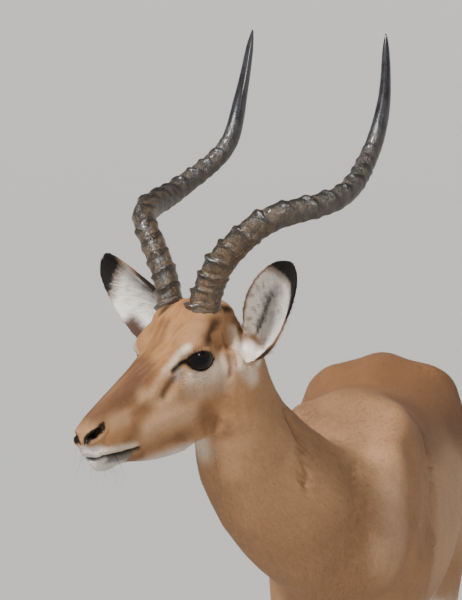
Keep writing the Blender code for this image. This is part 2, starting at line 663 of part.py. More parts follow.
def main():
    for old in list(bpy.data.objects):
        bpy.data.objects.remove(old)
    impala = bpy.data.collections.new("impala")
    cutters = bpy.data.collections.new("cutters")
    for group in (impala, cutters):
        bpy.context.scene.collection.children.link(group)

    body = fused("body", body_clay, BODY_VOXEL, BODY_TRIANGLES, body_rounds)
    skull = fused("skull", head_clay, HEAD_VOXEL, HEAD_TRIANGLES, lambda place: HEAD_ROUNDS)

    head_bounds, bounds = regions()
    head = piece_of("head", skull, impala)
    boolean(head, "INTERSECT", block("head_bounds", head_bounds, -GAP, cutters))
    trunk = piece_of("trunk", body, impala)
    for name, planes in bounds.items():
        part = piece_of(name, body, impala)
        boolean(part, "INTERSECT", block(name + "_bounds", planes, 0, cutters))
        wider = planes if name == "neck" else planes[:-1]
        boolean(trunk, "DIFFERENCE", block(name + "_room", wider, GAP, cutters))
        if name == "neck":
            boolean(part, "DIFFERENCE", block("head_room", head_bounds, 0, cutters))
        paint(part, "rufous" if name == "neck" else "tan")
    paint(head, "rufous")
    paint(trunk, "rufous")
    for side, word in ((-1, "right"), (1, "left")):
        paint(horn("horn_" + word, side, impala), "horn")
        paint(ear("ear_" + word, side, impala), "white")
        paint(ball("eye_" + word, side, EYE_RADIUS, 12, 8, impala), "eye")
        socket = ball("socket_" + word, side, EYE_RADIUS + 2 * GAP, 12, 8, cutters)
        boolean(head, "DIFFERENCE", as_cutter(socket))
        start, on, _ = ear_start(side)
        boolean(head, "DIFFERENCE", seat("ear_seat_" + word, start, on, EAR_SEAT, cutters))
        start, on = horn_start(side)
        boolean(head, "DIFFERENCE", seat("horn_seat_" + word, start, on, HORN_SEAT, cutters))
        for foot, rows in (("fore", FORELEG_ROWS), ("hind", HINDLEG_ROWS)):
            for claw, place in ((side, "outer"), (-side, "inner")):
                name = f"hoof_{foot}_{word}_{place}"
                paint(hoof(name, rows, side, claw, impala, cutters), "hoof")
    paint(tail("tail", impala), "white")
    root, after = (Vector((0, *row[:2])) for row in TAIL_ROWS[:2])
    boolean(trunk, "DIFFERENCE", seat("tail_seat", root, (after - root).normalized(), TAIL_SEAT, cutters))
    for spare in (body, skull):
        bpy.data.meshes.remove(spare)
    stand_on_origin(impala, cutters)


main()
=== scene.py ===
"""The looks of a life-size impala ram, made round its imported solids.

One skin is remeshed from the flesh solids, smoothed, and modelled with lids, nostrils, mouth and folds.
Coat, long hair, eyes, horns and hooves are pieces of their own. Places on the head are given in its own
frame, in metres forward, to its left and up from a point between the eyes.
"""

import math

import bmesh
import bpy
import numpy as np
from bpy.props import FloatProperty, FloatVectorProperty, IntProperty, PointerProperty
from mathutils import Matrix, Vector, noise


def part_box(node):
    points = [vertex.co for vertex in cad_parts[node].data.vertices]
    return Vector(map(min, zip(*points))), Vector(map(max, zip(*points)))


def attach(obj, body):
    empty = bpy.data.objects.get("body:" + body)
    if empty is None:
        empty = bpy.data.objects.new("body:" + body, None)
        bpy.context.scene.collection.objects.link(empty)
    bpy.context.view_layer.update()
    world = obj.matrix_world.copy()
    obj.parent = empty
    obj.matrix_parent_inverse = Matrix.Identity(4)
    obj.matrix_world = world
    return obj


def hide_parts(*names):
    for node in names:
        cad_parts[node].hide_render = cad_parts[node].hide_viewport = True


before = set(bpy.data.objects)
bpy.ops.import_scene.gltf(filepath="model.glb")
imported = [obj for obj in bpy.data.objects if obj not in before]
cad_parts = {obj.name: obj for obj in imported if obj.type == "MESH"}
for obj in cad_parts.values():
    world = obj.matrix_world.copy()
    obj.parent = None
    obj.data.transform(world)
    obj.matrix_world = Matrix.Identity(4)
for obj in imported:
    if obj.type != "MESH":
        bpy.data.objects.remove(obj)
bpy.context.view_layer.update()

bl_info = {
    "name": "Impala ram",
    "version": (1, 0, 0),
    "blender": (4, 5, 0),
    "location": "View3D > Sidebar > Impala",
    "description": "Builds the skin, coat, horns and eyes of a life-size impala ram",
    "category": "Object",
}

# ---------------------------------------------------------------- places read from the frame
FLESH = ("head", "neck", "trunk", "tail", "foreleg_left", "foreleg_right", "hindleg_left", "hindleg_right")
EARS = {1: "ear_left", -1: "ear_right"}
HORNS = {1: "horn_left", -1: "horn_right"}
EYES = {1: "eye_left", -1: "eye_right"}
HOOVES = [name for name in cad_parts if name.startswith("hoof_")]
UP = Vector((0, 0, 1))


def middle(node):
    """The middle of a solid's box."""
    low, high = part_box(node)
    return (low + high) / 2


EYE_BACK, HEAD_DROP = -0.01, 30  # the eyes' place forward of the head's origin, and degrees the nose hangs
HEAD_LEFT = (middle("eye_left") - middle("eye_right")).normalized()
LEVEL_AHEAD = HEAD_LEFT.cross(UP)
HEAD_AHEAD = LEVEL_AHEAD * math.cos(math.radians(HEAD_DROP)) - UP * math.sin(math.radians(HEAD_DROP))
HEAD_UP = HEAD_AHEAD.cross(HEAD_LEFT)
HEAD_AXES = np.array((HEAD_AHEAD, HEAD_LEFT, HEAD_UP))
HEAD_ORIGIN = (middle("eye_left") + middle("eye_right")) / 2 - HEAD_AHEAD * EYE_BACK

HIND_FEET = (middle("hoof_hind_left_outer") + middle("hoof_hind_right_outer")) / 2
WITHERS = Vector((HIND_FEET.x, HIND_FEET.y - 0.615, 0.9))  # top of the shoulders, ahead of the hind feet
COLLAR = WITHERS + Vector((-0.045, -0.125, -0.135))  # the middle of the neck's root
COLLAR_WAY = Vector((-0.3846, -0.7233, 0.5736))  # up the neck from there
NECK_WAY = Vector((0.44, 0.64, -0.63)).normalized()  # down the neck, from the head to the breast

LEG_TOP, FOOT_TOP = (0.5, 0.64), (0.06, 0.14)  # the heights over which leg and foot pass into the rest
TAIL_START, TAIL_TOP = (0.682, 0.705), (0.8, 0.83)  # the same for the tail: behind the withers, and in height

# ---------------------------------------------------------------- the stage
FLOOR_PROFILE = ((0, 0), (30, 0), (60, 0), (90, 2.5), (120, 8), (150, 18), (180, 33), (200, 47))
FLOOR_COLOUR, SKY_COLOUR = (0.5, 0.49, 0.47, 1), (0.93, 0.96, 1.0, 1)
KEY_WAY, KEY_SPREAD = Vector((0.42, 0.6, -0.8)), 10  # where the light goes, and the degrees it spreads
RIM_WAY, RIM_SPREAD, RIM_STRENGTH = Vector((-0.7, -0.3, -0.6)), 40, 0.12
CATCH_WAY, CATCH_AWAY = Vector((0.377, -0.88, 0.24)).normalized(), 3.0  # from the left eye to the lamp
CATCH_SIZE = 0.62
CAMERA_TURN, CAMERA_DROP, CAMERA_AWAY = 5, 3, 7.34  # degrees to the animal's left, degrees down, metres
CAMERA_ASIDE, CAMERA_RISE = 0.1665, 0.1127  # how far to the right of and above the withers it aims

# ---------------------------------------------------------------- the head's pieces, in its frame
EAR_BASE, EAR_REACH = (-0.097, 0.0475, -0.034), (-0.004, 0.131, 0.118)  # the ear's root, and on to its tip
EAR_YAW, EAR_DIP = {1: -19, -1: 27}, 0.16  # degrees it opens to the left of ahead, and how much downward
EAR_SIZE = {1: 1.0, -1: 0.975}
EAR_WRAP, EAR_UNWRAP = 125, 85  # degrees each side is rolled up at the root, and how many fewer at the tip
EAR_THICKNESS = 0.0046
EAR_ROWS = (  # share of the ear's length, half widths of its lower and its upper side
    (-0.1, 0.018, 0.009),
    (0.0, 0.023, 0.011),
    (0.14, 0.032, 0.016),
    (0.3, 0.038, 0.022),
    (0.5, 0.04, 0.028),
    (0.7, 0.036, 0.0285),
    (0.84, 0.0295, 0.0245),
    (0.92, 0.023, 0.019),
    (0.97, 0.015, 0.0125),
    (1.0, 0.006, 0.0055),
)
HORN_BASE = (-0.054, 0.028, 0.031)
HORN_PATH = (  # outward, forward and up from the horn's base, along level axes turned with the head
    (0.0, 0.0, 0.0),
    (0.015, -0.004, 0.044),
    (0.039, -0.009, 0.078),
    (0.087, -0.035, 0.121),
    (0.123, -0.123, 0.148),
    (0.106, -0.191, 0.2),
    (0.105, -0.217, 0.267),
    (0.096, -0.229, 0.351),
)
HORN_RADII = (  # share of the horn's length, radius
    (0.0, 0.0186),
    (0.08, 0.0172),
    (0.2, 0.0162),
    (0.35, 0.0148),
    (0.5, 0.0134),
    (0.6, 0.0125),
    (0.7, 0.0114),
    (0.79, 0.0097),
    (0.84, 0.0081),
    (0.89, 0.0067),
    (0.935, 0.0056),
    (0.965, 0.0042),
    (0.99, 0.0021),
    (1.0, 0.0009),
)
HORN_RINGS, RINGED_SHARE, HORN_ROOT = 15, 0.72, 0.018  # rings, the share they cover, the depth in the head
HORN_SIDES, RINGED_LOOPS, TIP_LOOPS = 40, 420, 70  # corners round it, loops of the ringed part and the tip
TIP_FROM, HORN_EASING = 0.74, 30  # where the tip's loops begin, and how often the line is evened out
CRUST_SHARE, CRUST_SWELL = 0.022, 1.06  # the rough crust at the horn's root
HORN_SCALE = {1: 0.998, -1: 1.011}
HORN_OVAL, HORN_TWIST = 0.1, 38  # how much wider than deep, and the degrees its wide way turns inward

# ---------------------------------------------------------------- the sizes of skin and coat
SKIN_VOXEL, SEAM_GROWTH = 0.0028, 0.0005
SKIN_TRIANGLES, SMOOTH_ROUNDS = 140000, 75
NECK_KEPT, FORM_KEPT, EARS_KEPT = 0.62, 0.93, 0.955  # how much of the form is kept from smoothing
SKULL_MASSES = (  # filled in under the skin: place in the head's frame, half sizes
    ((-0.057, 0.0285, 0.022), (0.024, 0.0235, 0.021)),  # the horn's seat
    ((-0.101, 0.043, -0.037), (0.018, 0.015, 0.02)),  # the ear's root
)
COAT_DENSITY = {"head": 3.2, "neck": 0.9, "legs": 0.8, "ears": 1.0}  # how much denser than on the trunk
TUFT_LENGTH, TUFT_WIDTH = 0.0068, 0.00068
TUFT_ROOT, LONG_HAIR_ROOT = 0.0002, 0.0006  # how deep the roots lie in the skin
TUFT_TRIANGLES, PIECE_TRIANGLES = 4, 190000  # of a tuft, and at most of a piece of coat
HAIR_RIDGE = 0.1  # how far the back of a hair stands up, as a share of its width
HAIR_TAPER, RIDGE_TAPER = 0.75, 0.6  # how much of the width and of the ridge is lost towards the tip
DOWN = np.array((0, 0, -1.0))
BAKE_WIDTH, BAKE_LENGTH = 0.0015, 0.003  # a hair's patch of the skin's unwrap: half its width, its length
EYEBALL = 0.0205
PUPIL_HALF_WIDTH, PUPIL_HALF_HEIGHT, IRIS_RADIUS = 0.0095, 0.005, (0.0128, 0.015)
EYE_TONE, IRIS_TONE, PUPIL_TONE = (0.01, 0.007, 0.006), (0.006, 0.0035, 0.0028), (0.0015, 0.0018, 0.003)
HOOF_EDGE = 0.0012  # the width of the rounding
EYE_PLACE = (-0.0117, 0.0405, -0.0025)
EYE_FACES, EYE_TILT = 60, 25  # degrees the eye looks outward, and its front corner stands up
LID_THICKNESS, EYE_SUNK = 0.0012, 0.003  # the second is how far the skin lies inside the ball in the opening
LID_CURVES = (  # along the eye from its rear to its front corner, upper edge, lower edge
    (-0.0205, -0.0026, -0.0034),
    (-0.0175, 0.0028, -0.0092),
    (-0.012, 0.008, -0.0126),
    (-0.0044, 0.0106, -0.0137),
    (0.002, 0.0103, -0.0126),
    (0.01, 0.0074, -0.0095),
    (0.015, 0.0031, -0.006),
    (0.0175, -0.0018, -0.003),
)


# ---------------------------------------------------------------- small tools
def ramp(value, low, high):
    """0 below `low`, 1 above `high`, and smooth between."""
    t = np.clip((value - low) / (high - low), 0.0, 1.0)
    return t * t * (3 - 2 * t)


def in_head(places):
    """Places in the head's frame turned into places of the scene, one or an array."""
    return np.array(HEAD_ORIGIN) + np.asarray(places, float) @ HEAD_AXES


def head_places(points):
    """Places of the scene in the head's frame."""
    return (points - np.array(HEAD_ORIGIN)) @ HEAD_AXES.T


def mirrored(places):
    """Head places folded onto the left side."""
    return np.column_stack((places[:, 0], np.abs(places[:, 1]), places[:, 2]))


def near_path(points, path, width, soft):
    """How far within a stroke each point lies, from 1 on its path to 0 beyond its soft edge."""
    path = np.asarray(path, float)
    reach = np.full(len(points), np.inf)
    for a, b in zip(path, path[1:]):
        along = b - a
        share = np.clip((points - a) @ along / (along @ along), 0, 1)
        reach = np.minimum(reach, np.linalg.norm(points - a - share[:, None] * along, axis=1))
    return 1 - ramp(reach, width * (1 - soft), width * (1 + soft))


def curve_rows(rows, steps):
    """Rows of numbers carried through by a Catmull-Rom curve, with so many steps between each two."""
    rows = np.array(rows, float)
    ends = np.vstack([2 * rows[0] - rows[1], rows, 2 * rows[-1] - rows[-2]])
    found = []
    for a, b, c, d in zip(ends, ends[1:], ends[2:], ends[3:]):
        for t in np.arange(steps) / steps:
            found.append(
                b + 0.5 * t * (c - a + t * (2 * a - 5 * b + 4 * c - d + t * (3 * (b - c) + d - a)))
            )
    return np.array(found + [rows[-1]])


def unit(vectors):
    """Rows of vectors brought to length 1."""
    return vectors / np.maximum(np.linalg.norm(vectors, axis=1, keepdims=True), 1e-9)


def read(items, name, width):
    """One property of many mesh items, as rows."""
    values = np.empty(len(items) * width, np.float32)
    items.foreach_get(name, values)
    return values.reshape(-1, width).astype(float) if width > 1 else values.astype(float)


def add_object(name, mesh):
    """A new object of the model on a mesh."""
    mesh.name = name
    piece = bpy.data.objects.new(name, mesh)
    bpy.context.scene.collection.objects.link(piece)
    return piece


def object_of(name, bm):
    """A new object from a bmesh, its normals turned outwards."""
    bmesh.ops.recalc_face_normals(bm, faces=bm.faces)
    mesh = bpy.data.meshes.new(name)
    bm.to_mesh(mesh)
    bm.free()
    mesh.shade_smooth()
    return add_object(name, mesh)


def applied(piece):
    """Replaces a piece's mesh by what its modifiers make of it."""
    graph = bpy.context.evaluated_depsgraph_get()
    mesh = bpy.data.meshes.new_from_object(piece.evaluated_get(graph))
    piece.modifiers.clear()
    piece.data = mesh
    return mesh


def merged_copy(node):
    """A bmesh of a solid, its loose triangles joined."""
    bm = bmesh.new()
    bm.from_mesh(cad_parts[node].data)
    bmesh.ops.remove_doubles(bm, verts=bm.verts, dist=1e-5)
    bmesh.ops.recalc_face_normals(bm, faces=bm.faces)
    bm.normal_update()
    return bm


def paint(mesh, name, values):
    """Keeps a value or a colour for each vertex of a mesh."""
    values = np.asarray(values, np.float32)
    if values.ndim == 1:
        mesh.attributes.new(name, "FLOAT", "POINT").data.foreach_set("value", values)
        return
    rgba = np.ones((len(values), 4), np.float32)
    rgba[:, :3] = values
    mesh.attributes.new(name, "FLOAT_COLOR", "POINT").data.foreach_set("color", rgba.ravel())


# ---------------------------------------------------------------- materials as expressions
class Shade:
    """A value or a colour in a material, on which arithmetic adds nodes."""

    def __init__(self, finish, socket):
        self.finish, self.socket = finish, socket

    def math(self, operation, first, second):
        node = self.finish.node("ShaderNodeMath", {"operation": operation}, {0: first, 1: second})
        return Shade(self.finish, node.outputs[0])

    def __add__(self, other):
        return self.math("ADD", self, other)

    __radd__ = __add__

    def __mul__(self, other):
        return self.math("MULTIPLY", self, other)

    __rmul__ = __mul__

    def __sub__(self, other):
        return self.math("SUBTRACT", self, other)

    def __rsub__(self, other):
        return self.math("SUBTRACT", other, self)

    def clamped(self, low, high):
        """0 below `low` and 1 above `high`."""
        node = self.finish.node(
            "ShaderNodeMapRange",
            {"interpolation_type": "SMOOTHSTEP", "clamp": True},
            {"Value": self, "From Min": low, "From Max": high},
        )
        return Shade(self.finish, node.outputs["Result"])


class Finish:
    """A material under construction, with one Principled shader."""

    def __init__(self, name, **constants):
        self.material = bpy.data.materials.new(name)
        self.material.use_nodes = True
        self.tree = self.material.node_tree
        self.shader = self.tree.nodes["Principled BSDF"]
        for socket, value in constants.items():
            self.shader.inputs[socket.replace("_", " ")].default_value = value

    def node(self, kind, settings=None, values=None):
        """Any node: its settings first, then the value or the link of each socket."""
        node = self.tree.nodes.new(kind)
        for name, value in (settings or {}).items():
            setattr(node, name, value)
        for name, value in (values or {}).items():
            self.feed(node.inputs[name], value)
        return node

    def feed(self, socket, value):
        """Links a socket or sets its value."""
        if isinstance(value, Shade):
            self.tree.links.new(value.socket, socket)
        elif isinstance(value, bpy.types.NodeSocket):
            self.tree.links.new(value, socket)
        elif socket.type == "RGBA" and len(value) == 3:
            socket.default_value = (*value, 1)
        else:
            socket.default_value = value

    def attribute(self, name, output="Fac"):
        """A value or a colour painted on the mesh."""
        return Shade(self, self.node("ShaderNodeAttribute", {"attribute_name": name}).outputs[output])

    def place(self, stretch):
        """Object coordinates, stretched."""
        where = self.node("ShaderNodeTexCoord").outputs["Object"]
        return self.node("ShaderNodeMapping", {}, {"Vector": where, "Scale": stretch}).outputs[0]

    def noise(self, scale, detail, rough, stretch=(1, 1, 1)):
        """Fractal noise from 0 to 1."""
        values = {"Vector": self.place(stretch), "Scale": scale, "Detail": detail, "Roughness": rough}
        return Shade(self, self.node("ShaderNodeTexNoise", {}, values).outputs["Fac"])

    def mix(self, share, first, second):
        """Two colours mixed."""
        node = self.node("ShaderNodeMix", {"data_type": "RGBA"}, {0: share, 6: first, 7: second})
        return Shade(self, node.outputs[2])

    def mottle(self):
        """The coat's unevenness, fine and broad, as a value a little under 1."""
        return 0.61 + 0.4 * self.noise(240, 4, 0.7) + 0.22 * self.noise(28, 3, 0.5)

    def tone(self, colour, value):
        """A colour made lighter or darker by a value round 1."""
        node = self.node("ShaderNodeVectorMath", {"operation": "SCALE"}, {0: colour, "Scale": value})
        return Shade(self, node.outputs[0])

    def bump(self, height, depth, strength):
        """A Bump node from a height."""
        values = {"Height": height, "Distance": depth, "Strength": strength}
        return Shade(self, self.node("ShaderNodeBump", {}, values).outputs[0])

    def done(self, **links):
        """Links what varies to the shader and returns the material."""
        for socket, value in links.items():
            self.feed(self.shader.inputs[socket.replace("_", " ")], value)
        return self.material


# ---------------------------------------------------------------- what a user may change
def colour(name, description, default):
    """A colour property."""
    return FloatVectorProperty(
        name=name, description=description, default=default, subtype="COLOR", min=0, max=1
    )


# brown, pale, cream and golden also serve for the painted shade and highlights in a few marks
class ImpalaColours(bpy.types.PropertyGroup):
    rufous: colour("Rufous", "Back and saddle", (0.185, 0.082, 0.032))
    golden: colour("Golden", "Forehead and cheeks", (0.39, 0.17, 0.047))
    tan: colour("Tan", "Neck, shoulders and flanks", (0.385, 0.206, 0.102))
    pale: colour("Pale tan", "Lower flanks, cheeks and legs", (0.56, 0.34, 0.19))
    cream: colour("Cream", "Brow stripe, throat and chin", (0.76, 0.63, 0.48))
    white: colour("White", "Belly, ears and rump", (0.86, 0.82, 0.76))
    grey: colour("Grey", "Round the eyes and on the lips", (0.4, 0.36, 0.32))
    brown: colour("Brown", "Bridge of the nose and crest", (0.125, 0.056, 0.026))
    black: colour("Black", "Tips of the ears, stripes and bare skin", (0.004, 0.0032, 0.003))
    horn_brown: colour("Horn brown", "The horn near its base", (0.068, 0.037, 0.013))
    horn_grey: colour("Horn grey", "The horn at its middle", (0.04, 0.029, 0.019))
    horn_tip: colour("Horn tip", "The smooth end of the horn", (0.018, 0.018, 0.021))
    hoof: colour("Hoof", "The hooves", (0.03, 0.025, 0.022))


class ImpalaSizes(bpy.types.PropertyGroup):
    coat_depth: FloatProperty(
        name="Coat depth", description="How far the skin lies inside the body's outline",
        default=0.0016, min=0.0, max=0.01, unit="LENGTH",
    )
    tufts: IntProperty(
        name="Tufts", description="How many tufts the short coat has", default=340000, min=1000, max=350000
    )
    lens: FloatProperty(
        name="Lens", description="Focal length of the camera", default=336.0, min=20, max=600, unit="CAMERA"
    )
    key_light: FloatProperty(name="Key light", description="Strength of the soft sun", default=5.6, min=0)
    catch_light: FloatProperty(
        name="Catch light", description="Power of the light in the eyes", default=19, min=0
    )
    fill_light: FloatProperty(name="Fill light", description="Strength of the sky", default=0.21, min=0)


def colours():
    return bpy.context.scene.impala_colours


def sizes():
    return bpy.context.scene.impala_sizes


# ---------------------------------------------------------------- ears
def ear_line(side):
    """An ear's root, its direction, its length, the way it opens and the way to its lower edge."""
    reach = Vector(np.array(EAR_REACH) * (1, side, 1) @ HEAD_AXES) * EAR_SIZE[side]
    on, yaw = reach.normalized(), math.radians(EAR_YAW[side])
    opening = HEAD_AHEAD * math.cos(yaw) + HEAD_LEFT * math.sin(yaw) - HEAD_UP * EAR_DIP
    opening = (opening - on * opening.dot(on)).normalized()
    root = Vector(in_head(np.array(EAR_BASE) * (1, side, 1)))
    return root, on, reach.length, opening, on.cross(opening) * side


def ear_surface(side, across, along):
    """Points of an ear's leaf: `across` from -1 at its upper to 1 at its lower edge, `along` root to tip."""
    root, on, length, opening, lower = (np.array(part) for part in ear_line(side))
    shares, lower_half, upper_half = curve_rows(EAR_ROWS, 8).T
    half_lower, half_upper = np.interp(along, shares, lower_half), np.interp(along, shares, upper_half)
    wrap = np.radians(EAR_WRAP - EAR_UNWRAP * np.clip(along, 0, 1))
    narrowing = np.sin(np.minimum(wrap, math.pi / 2))
    radius = np.where(across > 0, half_lower, half_upper) / narrowing
    hollow = (half_lower + half_upper) / narrowing * 0.25 * (1 - along) - 0.02 * along * (1 - along)
    aside = radius * np.sin(across * wrap)
    rise = radius * (1 - np.cos(across * wrap)) - hollow
    return root + np.outer(along, on * length) + np.outer(aside, lower) + np.outer(rise, opening)


def ear_leaf(side):
    """The ear as a thin closed shell whose root reaches into the head."""
    bm = bmesh.new()
    bmesh.ops.create_grid(bm, x_segments=48, y_segments=96, size=1.0)
    across = np.array([v.co.x for v in bm.verts])
    along = np.array([v.co.y for v in bm.verts]) * 0.54 + 0.46
    for v, place in zip(bm.verts, ear_surface(side, across, along)):
        v.co = place
    bm.normal_update()
    for v in bm.verts:
        v.co += v.normal * EAR_THICKNESS / 2
    bmesh.ops.solidify(bm, geom=bm.faces[:], thickness=EAR_THICKNESS)
    return bm


def on_ear(points, side):
    """For each point its nearest place on an ear's leaf.

    The columns: the distance, across, along, the height over the inner side, and the way to the tip.
    """
    rows, columns = 45, 33
    across, along = np.meshgrid(np.linspace(-1, 1, columns), np.linspace(-0.02, 1, rows))
    sheet = ear_surface(side, across.ravel(), along.ravel()).reshape(rows, columns, 3)
    up_leaf, over_leaf = np.gradient(sheet, axis=0), np.gradient(sheet, axis=1)
    facing = np.cross(over_leaf, up_leaf)
    facing *= np.sign(facing[rows // 2, columns // 2] @ np.array(ear_line(side)[3]))
    sheet, facing, up_leaf = (item.reshape(-1, 3) for item in (sheet, facing, up_leaf))
    found = np.tile((1.0, 0.0, 0.0, 0.0, 0.0, 0.0, 1.0), (len(points), 1))
    low, high = sheet.min(axis=0) - 0.03, sheet.max(axis=0) + 0.03
    near = np.flatnonzero(((points > low) & (points < high)).all(axis=1))
    square = (sheet ** 2).sum(axis=1)
    for chunk in np.array_split(near, max(1, len(near) // 4000)):
        place = points[chunk]
        best = np.argmin(square - 2 * place @ sheet.T, axis=1)
        away = place - sheet[best]
        found[chunk, 0] = np.linalg.norm(away, axis=1)
        found[chunk, 1], found[chunk, 2] = across.ravel()[best], along.ravel()[best]
        found[chunk, 3] = np.sum(away * facing[best], axis=1)
        found[chunk, 4:] = unit(up_leaf[best])
    return found


# ---------------------------------------------------------------- the skin
def add_ball(bm, place, radii):
    """An oval mass in the head's frame."""
    turn = Matrix((HEAD_AHEAD, HEAD_LEFT, HEAD_UP)).transposed().to_4x4()
    matrix = Matrix.Translation(Vector(in_head(place))) @ turn @ Matrix.Diagonal((*radii, 1))
    bmesh.ops.create_uvsphere(bm, u_segments=32, v_segments=20, radius=1, matrix=matrix)


def skin_clay():
    """The flesh solids, grown enough to close their seams, with full sockets and whole ears."""
    bm = bmesh.new()
    parts = [merged_copy(node) for node in FLESH]
    for part in parts:
        for v in part.verts:
            v.co += v.normal * SEAM_GROWTH
    parts += [ear_leaf(side) for side in EARS]
    for part in parts:
        mesh = bpy.data.meshes.new("part")
        part.to_mesh(mesh)
        part.free()
        bm.from_mesh(mesh)
        bpy.data.meshes.remove(mesh)
    socket = (EYE_PLACE, (EYEBALL + LID_THICKNESS,) * 3)
    for side in (-1, 1):
        for place, radii in (socket, *SKULL_MASSES):
            add_ball(bm, np.array(place) * (1, side, 1), radii)
    lump = object_of("skin", bm)
    remesh = lump.modifiers.new("Remesh", "REMESH")
    remesh.mode, remesh.voxel_size = "VOXEL", SKIN_VOXEL
    applied(lump)
    return lump


def weight_group(piece, name, weights, levels=24):
    """A vertex group from a weight for each vertex, in a few levels."""
    group = piece.vertex_groups.new(name=name)
    level = np.round(weights * levels).astype(int)
    for k in np.unique(level):
        group.add(np.flatnonzero(level == k).tolist(), k / levels, "REPLACE")
    return group.name


def regions(points):
    """How much of each point belongs to head, ears, neck, legs, feet and tail."""
    head = head_places(points)
    inside = np.minimum(0.9 * (head[:, 0] + 0.112) + 0.44 * (head[:, 2] - 0.01), head[:, 2] + 0.119)
    body = points - np.array(WITHERS)
    height = points[:, 2]
    ears = np.zeros(len(points))
    for side in EARS:
        leaf = on_ear(points, side)
        ears = np.maximum(ears, (1 - ramp(leaf[:, 0], 0.005, 0.011)) * ramp(leaf[:, 2], 0.03, 0.16))
    skull = ramp(inside, -0.012, 0.012)
    neck = ramp((points - np.array(COLLAR)) @ np.array(COLLAR_WAY), -0.05, 0.05)
    return {
        "head": skull * (1 - ears),
        "ears": ears,
        "neck": neck * (1 - skull) * (1 - ears),
        "legs": 1 - ramp(height, *LEG_TOP),
        "feet": 1 - ramp(height, *FOOT_TOP),
        "tail": ramp(body[:, 1], *TAIL_START) * (1 - ramp(height, *TAIL_TOP)),
    }


def eye_axes(side):
    """An eye's middle and its outward, forward and upward directions."""
    turn, tilt = math.radians(EYE_FACES), math.radians(EYE_TILT)
    outward = np.array((math.cos(turn), side * math.sin(turn), 0.0))
    level = np.array((math.sin(turn), -side * math.cos(turn), 0.0))
    ahead = level * math.cos(tilt) + np.array((0, 0, math.sin(tilt)))
    up = np.array((0, 0, math.cos(tilt))) - level * math.sin(tilt)
    place = in_head(np.array(EYE_PLACE) * (1, side, 1))
    return place, outward @ HEAD_AXES, ahead @ HEAD_AXES, up @ HEAD_AXES


def lid_margin(points, side):
    """Signed distance from the lids' edge, positive inside the opening, for points in front of the eye."""
    centre, outward, ahead, up = eye_axes(side)
    away = points - centre
    along, rise, out = away @ ahead, away @ up, away @ outward
    rows = curve_rows(LID_CURVES, 6)
    top = np.interp(along, rows[:, 0], rows[:, 1])
    bottom = np.interp(along, rows[:, 0], rows[:, 2])
    ends = np.minimum(along - LID_CURVES[0][0], LID_CURVES[-1][0] - along)
    inside = np.minimum(np.minimum(top - rise, rise - bottom), ends)
    return np.where(out > 0, inside, -1.0), away


def set_eyes(points):
    """Lays the lids over the eyeballs and opens them."""
    for side in (-1, 1):
        inside, away = lid_margin(points, side)
        reach = np.linalg.norm(away, axis=1)
        lid = EYEBALL + LID_THICKNESS
        near = (inside > -0.008) & (reach < 2 * EYEBALL)
        wanted = np.where(reach < lid, lid, reach)
        wanted = wanted + (EYEBALL - EYE_SUNK - wanted) * ramp(inside, -0.0002, 0.001)
        points[near] += away[near] * ((wanted - reach) / np.maximum(reach, 1e-6))[near, None]
    return points


